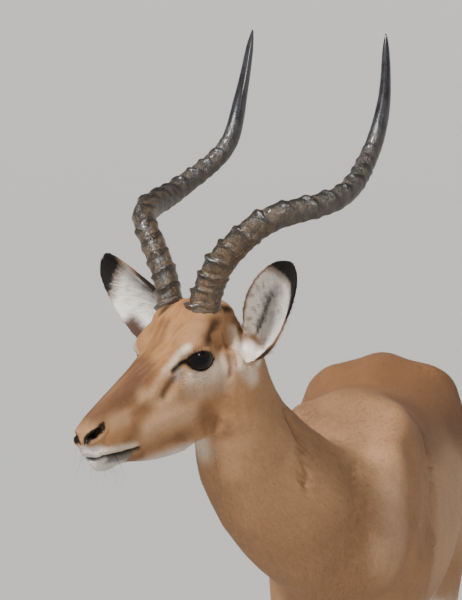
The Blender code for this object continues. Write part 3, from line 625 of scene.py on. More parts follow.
# folds between eye and ear, from the front one to the rear one, and the ridge between them
FRONT_FOLD = (
    (-0.064, 0.042, -0.003), (-0.058, 0.046, -0.015), (-0.045, 0.058, -0.021), (-0.04, 0.061, -0.033),
    (-0.034, 0.059, -0.044),
)
FOLD_RIDGE = (
    (-0.085, 0.036, -0.009), (-0.072, 0.046, -0.02), (-0.056, 0.063, -0.027), (-0.05, 0.065, -0.041),
)
REAR_FOLD = (
    (-0.092, 0.038, -0.012), (-0.08, 0.05, -0.024), (-0.066, 0.066, -0.033), (-0.06, 0.068, -0.046),
)
HOCK_TUFT = ((0.065, 0.664, 0.19), (0.065, 0.662, 0.13))  # a path as in BODY_FOLDS
FOLDS = (  # path in the head's frame, half width, softness, how far it stands out, or in below 0
    # nostril: its slit, the wing above it and the pad below
    (((0.17, 0.011, -0.0095), (0.164, 0.0175, -0.0075), (0.155, 0.0205, -0.006)), 0.003, 0.6, -0.007),
    (((0.168, 0.012, -0.002), (0.16, 0.0175, 0.0), (0.15, 0.02, 0.003)), 0.0034, 0.8, 0.0016),
    (((0.172, 0.013, -0.015), (0.16, 0.021, -0.014), (0.148, 0.022, -0.01)), 0.0034, 0.8, 0.0012),
    # chin, underside of the jaw, and philtrum
    (((0.166, 0.0, -0.056), (0.15, 0.004, -0.06), (0.14, 0.004, -0.062)), 0.013, 0.9, 0.006),
    (((0.116, 0.006, -0.074), (0.09, 0.01, -0.088), (0.055, 0.014, -0.1)), 0.014, 0.9, 0.0042),
    (((0.179, 0.0, -0.018), (0.177, 0.0, -0.035)), 0.0012, 0.9, -0.0012),
    # tear groove and the hollow in front of the eye
    (((0.012, 0.039, 0.002), (0.02, 0.036, 0.0005), (0.026, 0.034, -0.0015)), 0.0022, 0.9, -0.0022),
    (((0.034, 0.034, -0.01), (0.054, 0.031, -0.02)), 0.008, 0.9, -0.0022),
    # brow, cheek bone, jaw muscle and jaw
    (((0.012, 0.042, 0.016), (-0.008, 0.052, 0.019), (-0.028, 0.054, 0.013)), 0.006, 0.9, 0.0014),
    (((0.03, 0.037, -0.024), (-0.01, 0.045, -0.026), (-0.035, 0.052, -0.022)), 0.007, 0.9, 0.002),
    (((0.098, 0.025, -0.024), (0.07, 0.029, -0.024)), 0.008, 0.9, -0.0016),
    (((0.084, 0.026, -0.046), (0.05, 0.032, -0.056), (0.02, 0.038, -0.064)), 0.01, 0.9, 0.0018),
    (((0.07, 0.028, -0.07), (0.02, 0.036, -0.082), (-0.006, 0.038, -0.098)), 0.006, 0.9, -0.002),
    # forehead and the seats of the horns
    (((-0.034, 0.006, 0.036), (-0.05, 0.008, 0.04)), 0.026, 0.95, 0.01),
    (((-0.04, 0.03, 0.032), (-0.056, 0.04, 0.024)), 0.012, 0.9, 0.001),
    # angle of the jaw
    (((-0.01, 0.038, -0.08), (0.004, 0.032, -0.096)), 0.009, 0.9, -0.004),
    # folds between eye and ear
    (FRONT_FOLD, 0.0032, 0.9, -0.0026),
    (FOLD_RIDGE, 0.0044, 0.9, 0.0024),
    (REAR_FOLD, 0.003, 0.9, -0.0024),
    (((-0.076, 0.034, 0.008), (-0.068, 0.04, -0.002)), 0.003, 0.9, -0.0016),
)


MOUTH = (
    (0.17, 0.0, -0.0395), (0.1708, 0.008, -0.0395), (0.1704, 0.014, -0.039), (0.166, 0.019, -0.0385),
    (0.154, 0.0215, -0.043), (0.136, 0.021, -0.051), (0.122, 0.02, -0.057), (0.112, 0.02, -0.06),
)
LIP_REACH = np.array((1.0, 0.3, 1.0))  # strokes on the lips are measured with the side way shortened so
LIPS_FROM, NOSTRILS_FROM = (0.095, 0.11), 0.15  # how far forward the lips and the nostrils begin
LIP_FOLDS = (  # as the face's: the mouth, with the lips standing out above and below
    (MOUTH, 0.0019, 0.8, -0.0034),
    (((0.174, 0.004, -0.0305), (0.164, 0.02, -0.0325), (0.138, 0.022, -0.0455)), 0.0036, 0.9, 0.0014),
    (((0.168, 0.008, -0.0415), (0.154, 0.018, -0.048), (0.136, 0.019, -0.056)), 0.0036, 0.9, 0.0012),
)
BODY_FOLDS = (  # path on the body: out from its middle, back from the withers, height; then as in FOLDS
    (((0.043, -0.112, 0.81), (0.048, -0.133, 0.762), (0.05, -0.157, 0.715), (0.036, -0.15, 0.655)),
     0.024, 0.95, 0.008),
    (((0.07, -0.07, 0.82), (0.08, -0.098, 0.725), (0.072, -0.105, 0.66)), 0.014, 0.95, -0.005),
    (((0.012, -0.17, 0.8), (0.014, -0.2, 0.72), (0.008, -0.18, 0.64)), 0.019, 0.95, -0.01),
    (((0.09, -0.012, 0.694), (0.08, -0.04, 0.668)), 0.019, 0.95, 0.011),
    (((0.09, 0.0, 0.7), (0.09, -0.002, 0.77), (0.078, 0.02, 0.84)), 0.015, 0.95, 0.005),
    (((0.082, 0.08, 0.85), (0.096, 0.052, 0.76), (0.098, 0.042, 0.69), (0.092, 0.03, 0.63)),
     0.021, 0.95, -0.011),
    (((0.028, -0.02, 0.888), (0.064, -0.045, 0.862)), 0.017, 0.95, 0.004),
    (((0.0, 0.36, 0.9), (0.0, 0.56, 0.906)), 0.02, 0.95, 0.007),
    (((0.078, 0.5, 0.885), (0.086, 0.52, 0.87)), 0.02, 0.95, 0.006),
    (((0.1, 0.41, 0.76), (0.098, 0.45, 0.64)), 0.018, 0.95, -0.006),
    (((0.09, 0.56, 0.78), (0.085, 0.56, 0.68)), 0.03, 0.95, 0.006),
)
# the crease of the turned neck, from the withers across and back, and its height
CREASE = ((-0.074, -0.262, 0.885), (-0.057, -0.258, 0.849), (-0.05, -0.26, 0.822), (-0.053, -0.27, 0.795))


def on_body(points):
    """Places on the body: out from its middle, back from the withers and above the ground."""
    body = points - np.array(WITHERS)
    return np.column_stack((np.abs(body[:, 0]), body[:, 1], points[:, 2]))


def set_folds(points, normals):
    """Raises and sinks the forms of the body and the small forms of the face."""
    body, face = on_body(points), mirrored(head_places(points))
    grown = np.zeros(len(points))
    for path, width, soft, height in BODY_FOLDS:
        grown += near_path(body, path, width, soft) * height
    for shift, width, height in ((0.0, 0.006, -0.0045), (0.016, 0.012, 0.004)):
        crease = np.array(CREASE) + (WITHERS.x + shift, WITHERS.y - shift, 0)
        grown += near_path(points, crease, width, 0.95) * height
    near = face[:, 0] > -0.11
    for path, width, soft, height in FOLDS:
        grown[near] += near_path(face[near], path, width, soft) * height
    for path, width, soft, height in LIP_FOLDS:
        grown[near] += near_path(face[near] * LIP_REACH, path * LIP_REACH, width, soft) * height
    part = regions(points)
    plain = 1 - np.clip(part["head"] + part["ears"], 0, 1)
    uneven = np.array([noise.noise(Vector(point) * 15) for point in points])
    return points + normals * (grown + 0.0014 * uneven * plain)[:, None]


def refine(piece):
    """Divides the skin's faces round the eyes, the nostrils and the mouth."""
    bm = bmesh.new()
    bm.from_mesh(piece.data)
    places = head_places(np.array([v.co for v in bm.verts]))
    folded = mirrored(places)
    eye = np.linalg.norm(folded - EYE_PLACE - (0.01, 0.017, 0), axis=1) < 0.027
    muzzle = (folded[:, 0] > 0.125) & (np.abs(folded[:, 2] + 0.02) < 0.045)
    wanted = eye | muzzle
    edges = [e for e in bm.edges if wanted[e.verts[0].index] and wanted[e.verts[1].index]]
    bmesh.ops.subdivide_edges(bm, edges=edges, cuts=2, use_grid_fill=True)
    bmesh.ops.triangulate(bm, faces=bm.faces)
    bm.to_mesh(piece.data)
    bm.free()


def smooth_skin(piece, amounts):
    """Evens the skin out, by a weight for each vertex."""
    smooth = piece.modifiers.new("Smooth", "SMOOTH")
    smooth.factor, smooth.iterations = 0.5, SMOOTH_ROUNDS
    smooth.vertex_group = weight_group(piece, "soft", amounts)
    applied(piece)
    piece.vertex_groups.clear()


def thin_skin(piece):
    """Thins the skin where the body is large and plain, to its number of triangles."""
    points = read(piece.data.vertices, "co", 3)
    part = regions(points)
    plain = 1 - np.clip(part["head"] + part["ears"] + part["feet"], 0, 1)
    thin = piece.modifiers.new("Decimate", "DECIMATE")
    thin.ratio = min(1.0, SKIN_TRIANGLES / (2 * len(piece.data.polygons)))
    thin.vertex_group = weight_group(piece, "plain", plain, levels=4)
    applied(piece)
    piece.vertex_groups.clear()


def coat_depths(points):
    """How deep the coat is, from the skin to the outline."""
    part = regions(points)
    depth = sizes().coat_depth * (1 - 0.55 * part["head"])
    depth = depth * (1 - 0.5 * part["ears"]) * (1 - 0.5 * part["legs"])
    return depth * (1 - 0.6 * part["feet"]) + 0.006 * part["tail"]


def model_skin():
    """The whole skin: remeshed, evened out, refined, painted before it is folded, and modelled."""
    skin = skin_clay()
    part = regions(read(skin.data.vertices, "co", 3))
    soft = 1 - NECK_KEPT * part["neck"]
    soft = np.minimum(soft, 1 - FORM_KEPT * np.clip(part["head"] + part["legs"] + part["tail"], 0, 1))
    soft = np.minimum(soft, 1 - EARS_KEPT * part["ears"])
    smooth_skin(skin, soft)
    thin_skin(skin)
    refine(skin)
    mesh = skin.data
    points, normals = read(mesh.vertices, "co", 3), read(mesh.vertices, "normal", 3)
    points -= normals * coat_depths(points)[:, None]
    unfolded = set_eyes(points.copy())
    paint(mesh, "coat", coat_colours(unfolded, normals))
    paint(mesh, "wet", bare_places(unfolded))
    points = set_eyes(set_folds(points, normals))
    mesh.vertices.foreach_set("co", points.astype(np.float32).ravel())
    mesh.update()
    mesh.shade_smooth()
    return skin


# ---------------------------------------------------------------- markings and painted light, shared by skin and coat
# colour, path in the head's frame, half width, softness, strength; a path that starts left below 0 is the
# right side's only
FACE_MARKS_AND_SHADING = (
    # forehead and bridge of the nose
    ("golden", ((0.03, 0.004, 0.026), (-0.05, 0.01, 0.04)), 0.036, 0.8, 0.62),
    ("golden", ((0.13, 0.018, -0.01), (0.06, 0.028, -0.02), (-0.01, 0.04, -0.05)), 0.045, 0.9, 0.3),
    ("brown", ((0.145, 0.006, 0.008), (0.125, 0.01, 0.009), (0.103, 0.012, 0.011), (0.087, 0.013, 0.012),
               (0.068, 0.011, 0.017), (0.045, 0.01, 0.021)), 0.013, 0.9, 0.9),
    ("brown", ((0.109, 0.018, 0.003), (0.092, 0.02, 0.004), (0.07, 0.02, 0.009), (0.052, 0.017, 0.015)),
     0.009, 0.9, 0.55),
    ("brown", ((0.135, 0.01, 0.006), (0.1, 0.016, 0.006), (0.06, 0.016, 0.014)), 0.017, 0.95, 0.5),
    ("brown", ((0.04, 0.003, 0.023), (0.024, 0.003, 0.025), (0.006, 0.005, 0.028), (-0.02, 0.006, 0.034)),
     0.005, 0.9, 0.5),
    ("black", ((-0.036, -0.019, 0.037), (-0.046, -0.012, 0.041)), 0.0046, 0.8, 0.88),
    ("brown", ((-0.01, 0.02, 0.032), (-0.03, 0.03, 0.033)), 0.003, 0.9, 0.35),
    # cheeks
    ("pale", ((0.076, 0.026, -0.006), (0.065, 0.03, -0.017)), 0.009, 0.9, 0.65),
    ("pale", ((0.047, 0.033, -0.033), (0.068, 0.03, -0.044), (0.095, 0.027, -0.046)), 0.011, 0.9, 0.85),
    ("pale", ((0.13, 0.021, -0.01), (0.112, 0.023, -0.014)), 0.009, 0.9, 0.45),
    ("pale", ((0.062, 0.031, -0.05), (0.03, 0.035, -0.062)), 0.014, 0.9, 0.8),
    ("brown", ((0.084, 0.027, -0.022), (0.099, 0.026, -0.029), (0.111, 0.025, -0.036),
               (0.124, 0.024, -0.038)), 0.0085, 0.95, 0.42),
    # painted shade at the angle of the jaw
    ("brown", ((0.01, 0.035, -0.074), (0.001, 0.036, -0.091), (0.0, 0.04, -0.106)), 0.012, 0.9, 0.45),
    ("brown", ((0.04, 0.029, -0.086), (0.055, 0.028, -0.08)), 0.008, 0.9, 0.35),
    ("brown", ((-0.02, 0.046, -0.05), (-0.006, 0.044, -0.062)), 0.01, 0.95, 0.18),
    # round the eye
    ("cream", ((0.004, 0.043, -0.022), (-0.014, 0.046, -0.028), (-0.03, 0.052, -0.028)), 0.011, 0.95, 0.8),
    ("cream", ((0.014, 0.039, -0.03), (0.0, 0.042, -0.04), (-0.024, 0.05, -0.044)), 0.014, 0.95, 0.32),
    ("brown", ((-0.046, 0.048, -0.006), (-0.048, 0.05, -0.022)), 0.008, 0.9, 0.45),
    ("black", ((-0.05, 0.049, 0.022), (-0.04, 0.05, 0.016), (-0.026, 0.055, 0.013)), 0.0085, 0.95, 0.84),
    ("cream", ((0.002, 0.048, 0.018), (0.014, 0.037, 0.012), (0.024, 0.032, 0.005), (0.034, 0.029, 0.002)),
     0.0046, 0.95, 0.92),
    ("pale", ((0.03, 0.03, 0.002), (0.046, 0.028, -0.002), (0.062, 0.028, -0.008)), 0.005, 0.95, 0.9),
    ("grey", ((0.018, 0.037, -0.006), (0.028, 0.035, -0.01)), 0.005, 0.9, 0.6),
    ("black", ((0.03, 0.035, -0.009), (0.038, 0.034, -0.011), (0.046, 0.032, -0.015), (0.054, 0.032, -0.02)),
     0.0042, 0.9, 0.72),
    ("black", ((0.0085, 0.043, 0.0025), (0.013, 0.0385, 0.002), (0.02, 0.0355, 0.0005),
               (0.025, 0.034, -0.001)), 0.004, 0.6, 0.96),
    ("tan", ((-0.01, -0.054, 0.016), (0.01, -0.046, 0.014)), 0.01, 0.9, 0.65),
    # between the eye and the ear: a painted highlight on the ridge, painted shade in the folds before and
    # behind it
    ("cream", FOLD_RIDGE, 0.006, 0.9, 0.7),
    ("brown", FRONT_FOLD, 0.0034, 0.9, 0.72),
    ("brown", REAR_FOLD, 0.0026, 0.9, 0.65),
    ("cream", ((-0.058, 0.06, -0.042), (-0.062, 0.066, -0.062)), 0.012, 0.9, 0.7),
    ("brown", ((-0.072, 0.04, 0.0), (-0.064, 0.048, -0.016), (-0.05, 0.061, -0.024), (-0.045, 0.063, -0.036)),
     0.0016, 0.9, 0.6),
    ("brown", ((-0.084, 0.037, -0.004), (-0.076, 0.047, -0.018), (-0.062, 0.062, -0.028),
               (-0.055, 0.066, -0.04)), 0.0016, 0.9, 0.55),
    ("pale", ((-0.078, 0.038, -0.002), (-0.07, 0.047, -0.017), (-0.056, 0.061, -0.026)), 0.0018, 0.9, 0.6),
    ("white", ((-0.078, 0.056, -0.034), (-0.084, 0.062, -0.046)), 0.011, 0.8, 0.9),
    ("black", ((-0.08, 0.034, 0.026), (-0.096, 0.028, 0.014)), 0.0055, 0.8, 0.85),
    # jaw: the white band, kept weak as partly painted shade, and painted shade along the jaw's lower side
    ("white", ((0.111, 0.006, -0.082), (0.093, 0.013, -0.089), (0.069, 0.017, -0.095),
               (0.045, 0.018, -0.103)), 0.01, 0.7, 0.55),
    ("cream", ((0.04, 0.0, -0.11), (0.0, 0.0, -0.128)), 0.02, 0.7, 0.8),
    ("brown", ((0.105, 0.021, -0.068), (0.075, 0.024, -0.078), (0.05, 0.028, -0.086)), 0.005, 0.9, 0.35),
    # nostrils
    ("black", ((0.175, 0.003, -0.017), (0.1735, 0.005, -0.012)), 0.0016, 0.4, 0.97),
    ("black", ((0.1708, 0.0095, -0.0105), (0.164, 0.017, -0.0065)), 0.006, 0.25, 0.99),
    ("black", ((0.164, 0.017, -0.006), (0.154, 0.02, -0.006), (0.15, 0.0205, -0.004)), 0.0052, 0.25, 0.99),
    ("black", ((0.15, 0.0205, -0.004), (0.145, 0.0205, -0.001)), 0.0034, 0.25, 0.99),
)
FOREHEAD = ((0.04, 0.0, 0.025), (-0.05, 0.0, 0.04))  # the path along which the swirls show in full
LIP_MARKS_AND_SHADING = (  # the same for the lips and the chin
    ("white", ((0.176, 0.0, -0.028), (0.17, 0.013, -0.03)), 0.009, 0.5, 0.74),
    ("cream", ((0.168, 0.016, -0.031), (0.154, 0.021, -0.037), (0.136, 0.021, -0.045),
               (0.118, 0.02, -0.054)), 0.0048, 0.95, 0.74),
    ("white", ((0.17, 0.0, -0.044), (0.162, 0.012, -0.052), (0.142, 0.012, -0.06)), 0.011, 0.4, 0.72),
    ("grey", ((0.16, 0.0, -0.06), (0.142, 0.006, -0.068)), 0.008, 0.9, 0.55),
    ("grey", ((0.16, 0.019, -0.046), (0.146, 0.02, -0.052), (0.128, 0.02, -0.06)), 0.004, 0.7, 0.95),
    ("black", ((0.158, 0.019, -0.0455), (0.146, 0.02, -0.0505), (0.126, 0.02, -0.059)), 0.0036, 0.9, 0.6),
    # painted shadow behind the chin
    ("brown", ((0.128, 0.018, -0.066), (0.112, 0.018, -0.07)), 0.0055, 0.9, 0.6),
    ("black", MOUTH, 0.0022, 0.6, 0.95),
)
SPECKLED = (  # where black hairs are mixed in: path, half width, softness, the share of them
    (((0.175, 0.002, -0.026), (0.168, 0.018, -0.03), (0.14, 0.022, -0.046)), 0.012, 0.9, 0.5),
    (((0.166, 0.004, -0.048), (0.135, 0.016, -0.058)), 0.011, 0.9, 0.36),
    (((0.01, 0.041, -0.016), (-0.01, 0.044, -0.026), (0.022, 0.036, -0.012)), 0.011, 0.9, 0.42),
)
BODY_MARKS_AND_SHADING = (  # colour, path as in BODY_FOLDS, half width, softness, strength
    # painted highlight along the ridge of the shoulder, in pale, cream and golden
    ("pale", ((0.044, -0.115, 0.79), (0.048, -0.14, 0.74), (0.046, -0.155, 0.69)), 0.026, 0.95, 0.7),
    ("cream", ((0.046, -0.13, 0.765), (0.048, -0.15, 0.71)), 0.022, 0.95, 0.16),
    ("golden", ((0.046, -0.12, 0.78), (0.048, -0.15, 0.7)), 0.03, 0.95, 0.2),
    # painted shade low on the front of the breast, between the forelegs
    ("brown", ((0.01, -0.19, 0.7), (0.01, -0.16, 0.6)), 0.07, 0.95, 0.22),
    # painted shade in the hollow behind the arm
    ("brown", ((0.084, 0.1, 0.82), (0.092, 0.06, 0.75), (0.094, 0.05, 0.69), (0.09, 0.04, 0.63)),
     0.018, 0.95, 0.28),
    ("white", ((0.03, 0.7, 0.76), (0.04, 0.69, 0.64), (0.03, 0.6, 0.56)), 0.04, 0.6, 0.95),
    ("black", ((0.05, 0.69, 0.83), (0.068, 0.676, 0.74), (0.072, 0.655, 0.64)), 0.01, 0.6, 0.92),
    ("black", ((0.0, 0.56, 0.908), (0.0, 0.68, 0.86)), 0.012, 0.8, 0.35),
    ("black", HOCK_TUFT, 0.013, 0.5, 0.95),
)
THROAT = ((-0.03, 0.0, -0.125), (-0.06, 0.012, -0.165))  # the white patch below the jaw
EAR_PATCHES = {1: (0.12, 0.74, 0.9), -1: (0.3, 0.55, 0.8)}  # dark near the root: start along, bounds across
TIP_SPREAD = {1: 0.18, -1: 0.05}  # how much farther the black tip comes down the ear's lower edge


def blended(base, name, share):
    """A colour of the palette laid over others by a share for each vertex."""
    return base + (np.array(getattr(colours(), name)) - base) * np.asarray(share)[:, None]


def body_colours(points, normals, part):
    """The colours of the body behind the head, with painted shade and a painted highlight among them."""
    body = points - np.array(WITHERS)
    back, height = body[:, 1], points[:, 2]
    wave = 0.012 * np.sin(back * 9.0) + 0.008 * np.sin(back * 23.0 + 1.0)  # of the coat's colour borders
    trunk = 1 - part["neck"]
    saddle = ramp(height, 0.775 + wave, 0.825 + wave) * ramp(back, -0.1, 0.1) * trunk
    flank = ramp(height, 0.6, 0.66) * (1 - ramp(height, 0.765 + wave, 0.8 + wave)) * ramp(back, 0.02, 0.14)
    belly = (1 - ramp(height, 0.575 + wave, 0.6 + wave)) * ramp(-normals[:, 2], 0.05, 0.45)
    inner = ramp(-normals[:, 0] * np.sign(body[:, 0] + 0.01), 0.25, 0.75)
    crest = ramp((points - np.array(COLLAR)) @ np.array((0.35, 0.4, 0.85)), 0.06, 0.11) * part["neck"]
    found = np.tile(np.array(colours().tan), (len(points), 1))
    for name, share in (
        ("brown", 0.13 * ramp(back, -0.28, -0.12) * trunk),
        ("rufous", 0.85 * saddle),
        ("pale", 0.5 * flank * (1 - part["legs"])),
        ("white", belly * ramp(back, -0.06, 0.02) * (1 - ramp(back, 0.5, 0.56))),
        ("cream", 0.8 * part["legs"] * inner * ramp(height, 0.2, 0.4)),
        ("pale", 0.55 * part["legs"]),
        ("brown", 0.6 * crest),
        ("white", 0.85 * near_path(head_places(points), THROAT, 0.022, 0.6)),
    ):
        found = blended(found, name, share)
    folded = on_body(points)
    for name, path, width, soft, strength in BODY_MARKS_AND_SHADING:
        found = blended(found, name, strength * near_path(folded, path, width, soft))
    # painted shade along the crease of the turned neck
    crease = np.array(CREASE) + (WITHERS.x, WITHERS.y, 0)
    found = blended(found, "brown", 0.45 * near_path(points, crease, 0.006, 0.95))
    pastern = (1 - ramp(height, 0.045, 0.075)) * part["feet"]
    return blended(found, "brown", 0.45 * pastern)


def ear_hollow(base, across, along):
    """The ear's hollow side: white, with a dark line up its middle and dark gaps between its tufts. Towards
    the upper side the gaps darken and the white turns tan: partly the hair's own colour, partly painted
    shade.
    """
    found = 0.95 * blended(base, "white", np.ones(len(base)))
    line = 1 - ramp(np.abs(across + 0.1 + 0.1 * along), 0.02, 0.11)
    line = 0.9 * line * ramp(along, -0.02, 0.06) * (1 - ramp(along, 0.45, 0.72))
    found = blended(found, "black", line)
    fan = along - 0.3 * np.abs(across + 0.1)
    gaps = np.sin(fan * 58 + 2.2 * np.sin(across * 6 + along * 5))
    gaps = gaps * (0.6 + 0.4 * np.sin(across * 11 - along * 17))
    gaps = ramp(gaps, 0.1, 0.7) * (1 - ramp(along, 0.62, 0.76))
    # darker gaps and a tan wash towards the upper side: partly painted shade
    found = blended(found, "black", gaps * (0.16 + 0.44 * ramp(-across, -0.15, 0.25)))
    return blended(found, "pale", 0.3 * ramp(-across, 0.3, 0.75))


def ear_edges(side, tone, across, along):
    """An ear's dark upper rim, the patch near the root of its lower edge, and its tip."""
    if side > 0:
        tone = blended(tone, "brown", 0.85 * ramp(-across, 0.86, 0.94) * ramp(along, 0.1, 0.25))
    else:
        rim = ramp(-across, 0.58, 0.72) * ramp(along, 0.22, 0.34)
        tone = blended(tone, "black", 0.94 * rim * (1 - ramp(along, 0.62, 0.74)))
        tone = blended(tone, "brown", 0.6 * rim * ramp(along, 0.58, 0.7))
    start, inner, outer = EAR_PATCHES[side]
    patch = ramp(across, inner, outer) * ramp(along, start, start + 0.08)
    patch = patch * (1 - ramp(along, start + 0.2, start + 0.3))
    tone = blended(blended(tone, "brown", 0.95 * patch), "black", 0.5 * patch)
    reach = along + TIP_SPREAD[side] * ramp(across, 0.3, 1.0) - 0.02 * ramp(-across, 0.2, 0.9)
    tone = blended(tone, "brown", 0.75 * ramp(reach, 0.73, 0.81))
    return blended(tone, "black", 0.98 * ramp(reach, 0.81, 0.86))


def ear_colours(points, base):
    """The ears, tan behind and white in the hollow, laid over the other colours."""
    for side in EARS:
        leaf = on_ear(points, side)
        across, along = leaf[:, 1], leaf[:, 2]
        inside = np.maximum(leaf[:, 3] > 0, (along < 0.13) & (np.abs(across) < 0.75)).astype(float)
        mine = (1 - ramp(leaf[:, 0], 0.004, 0.01)) * ramp(along, -0.01, 0.1)
        tone = blended(base, "tan", np.ones(len(points)))
        tone = tone + (ear_hollow(base, across, along) - tone) * inside[:, None]
        base = base + (ear_edges(side, tone, across, along) - base) * mine[:, None]
    return base


def swirls(places):
    """Streaks from -1 to 1 that run back along the head and fan out on the forehead."""
    aside = places[:, 1] / (1 + 9 * np.clip(0.06 - places[:, 0], 0, 0.12))
    grain = np.column_stack((places[:, 0] * 36, aside * 380, places[:, 2] * 170))
    return 1.6 * np.array([noise.noise(Vector(point)) for point in grain])


def coat_colours(points, normals):
    """The colour of the coat at each point, with its markings and some painted shade and highlights."""
    part = regions(points)
    found = body_colours(points, normals, part)
    unfolded = head_places(points)
    near = (unfolded[:, 0] > -0.14) & (unfolded[:, 2] > -0.2) & (np.linalg.norm(unfolded, axis=1) < 0.3)
    head, unfolded = found[near], unfolded[near]
    chosen = mirrored(unfolded)
    for name, path, width, soft, strength in FACE_MARKS_AND_SHADING:
        places = unfolded if path[0][1] < 0 else chosen
        head = blended(head, name, strength * near_path(places, path, width, soft))
    swirl = swirls(unfolded)
    fore = 0.2 + 0.8 * near_path(chosen, FOREHEAD, 0.034, 0.8)
    head = blended(head, "brown", 0.26 * ramp(swirl, 0.0, 0.7) * fore)
    head = blended(head, "pale", 0.16 * ramp(-swirl, 0.0, 0.7) * fore)
    for name, path, width, soft, strength in LIP_MARKS_AND_SHADING:
        stroke = near_path(chosen * LIP_REACH, path * LIP_REACH, width, soft)
        head = blended(head, name, strength * (stroke * ramp(chosen[:, 0], *LIPS_FROM)))
    inside = np.maximum(*(lid_margin(points[near], side)[0] for side in (-1, 1)))
    head = blended(head, "black", ramp(inside, -0.0032, -0.0012))
    found[near] = head
    return ear_colours(points, found)


def bare_places(points):
    """Where the skin is bare and moist: lids, nostrils, nose pad and lips."""
    face = mirrored(head_places(points))
    wet = np.maximum(*(ramp(lid_margin(points, side)[0], -0.0022, -0.001) for side in (-1, 1)))
    for name, path, width, soft, _ in FACE_MARKS_AND_SHADING:
        if name == "black" and path[0][0] > NOSTRILS_FROM:
            wet = np.maximum(wet, near_path(face, path, width, soft))
    mouth = near_path(face * LIP_REACH, MOUTH * LIP_REACH, 0.0022, 0.6)
    return np.maximum(wet, mouth * ramp(face[:, 0], *LIPS_FROM))


def skin_finish():
    """Short hair lying flat, with bare moist places."""
    finish = Finish("impala_skin", Specular_IOR_Level=0.2)
    coat, wet = finish.attribute("coat", "Color"), finish.attribute("wet")
    streaks = finish.noise(420, 3, 0.6, (1.0, 0.35, 1.0))
    shade = finish.tone(coat, 0.14 * streaks + finish.mottle())
    normal = finish.bump(streaks * (1 - wet), 0.0009, 0.6)
    return finish.done(Base_Color=shade, Roughness=0.72 - 0.48 * wet, Normal=normal)


# ---------------------------------------------------------------- hair
def lie_of_coat(points, normals, part):
    """Unit directions in which the coat lies."""
    face = head_places(points)
    side = np.sign(face[:, 1])
    ahead, left, up = HEAD_AXES
    head_way = -ahead + np.outer(-0.35 * ramp(-face[:, 2], 0.0, 0.06), up)
    head_way = head_way + np.outer(0.35 * side * ramp(-face[:, 0], -0.02, 0.06), left)
    body = points - np.array(WITHERS)
    trunk_way = np.tile((0.0, 1.0, -0.22), (len(points), 1))
    trunk_way[:, 2] -= 0.5 * ramp(body[:, 1], 0.45, 0.7)
    breast = (1 - ramp(body[:, 1] + 0.5 * (points[:, 2] - 0.8), -0.14, 0.08))[:, None]
    breast_way = np.tile((0.0, 0.35, -1.0), (len(points), 1))
    breast_way[:, 0] = 0.8 * np.tanh(body[:, 0] / 0.06)
    way = unit(trunk_way + (breast_way - trunk_way) * breast)
    for name, aim in (("neck", NECK_WAY), ("legs", (0.0, 0.18, -1.0)), ("tail", (0.0, 0.02, -1.0))):
        way = way + (np.array(aim) - way) * part[name][:, None]
    way = way + (unit(head_way) - way) * part["head"][:, None]
    for side in EARS:
        leaf = on_ear(points, side)
        mine = part["ears"] * (leaf[:, 0] < 0.02)
        way = way + (leaf[:, 4:] - way) * mine[:, None]
    flat = way - normals * np.sum(way * normals, axis=1, keepdims=True)
    return unit(flat)


def hair_mesh(name, root, way, normal, length, width, lift, tone, spot, droop, steps=1):
    """Many tapered three-sided hairs as one closed mesh: `lift` raises the tips, `droop` bends them down."""
    count = len(root)
    side = np.cross(way, normal)
    corners = []
    for k in range(steps):
        share = k / steps
        centre = root + way * (length * share)[:, None] + normal * (lift * share)[:, None]
        centre = centre + DOWN * (droop * share * share)[:, None]
        half = side * (width * 0.5 * (1 - HAIR_TAPER * share))[:, None]
        ridge = normal * (width * HAIR_RIDGE * (1 - RIDGE_TAPER * share))[:, None]
        corners += [centre - half, centre + half, centre + ridge]
    corners.append(root + way * length[:, None] + normal * lift[:, None] + DOWN * droop[:, None])
    points = np.stack(corners, axis=1)
    each = points.shape[1]
    faces = [(0, 1, 2)]
    for k in range(steps - 1):
        a, b = 3 * k, 3 * k + 3
        for i, j in ((1, 0), (2, 1), (0, 2)):
            faces += [(a + i, a + j, b + j), (a + i, b + j, b + i)]
    last = 3 * (steps - 1)
    faces += [(last + 1, last, each - 1), (last + 2, last + 1, each - 1), (last, last + 2, each - 1)]
    faces = np.array(faces)
    loops = (np.arange(count)[:, None, None] * each + faces[None]).reshape(-1)
    mesh = bpy.data.meshes.new(name)
    mesh.vertices.add(count * each)
    mesh.vertices.foreach_set("co", points.astype(np.float32).ravel())
    mesh.loops.add(len(loops))
    mesh.loops.foreach_set("vertex_index", loops.astype(np.int32))
    mesh.polygons.add(len(loops) // 3)
    mesh.polygons.foreach_set("loop_start", np.arange(0, len(loops), 3, dtype=np.int32))
    mesh.update(calc_edges=True)
    mesh.shade_flat()
    shares = np.array([k // 3 / steps for k in range(each - 1)] + [1.0])
    paint(mesh, "coat", (tone[:, None, :] * (0.95 + 0.08 * shares)[None, :, None]).reshape(-1, 3))
    aside = np.append(np.tile((-BAKE_WIDTH, BAKE_WIDTH, 0.0), steps), 0.0)
    patch = (spot[:, None, :] + np.stack((aside, BAKE_LENGTH * shares), axis=1)).reshape(-1, 2)
    layer = mesh.uv_layers.new(name="OFBake")
    layer.data.foreach_set("uv", patch[loops].astype(np.float32).ravel())
    return add_object(name, mesh)


def coat_finish(name):
    """Hair, in the colours painted on it."""
    finish = Finish(name, Sheen_Weight=0.04, Specular_IOR_Level=0.12)
    coat = finish.attribute("coat", "Color")
    shade = finish.tone(coat, 0.14 * finish.noise(900, 2, 0.6) + finish.mottle())
    return finish.done(Base_Color=shade, Roughness=0.62 - 0.15 * finish.noise(240, 2, 0.5))


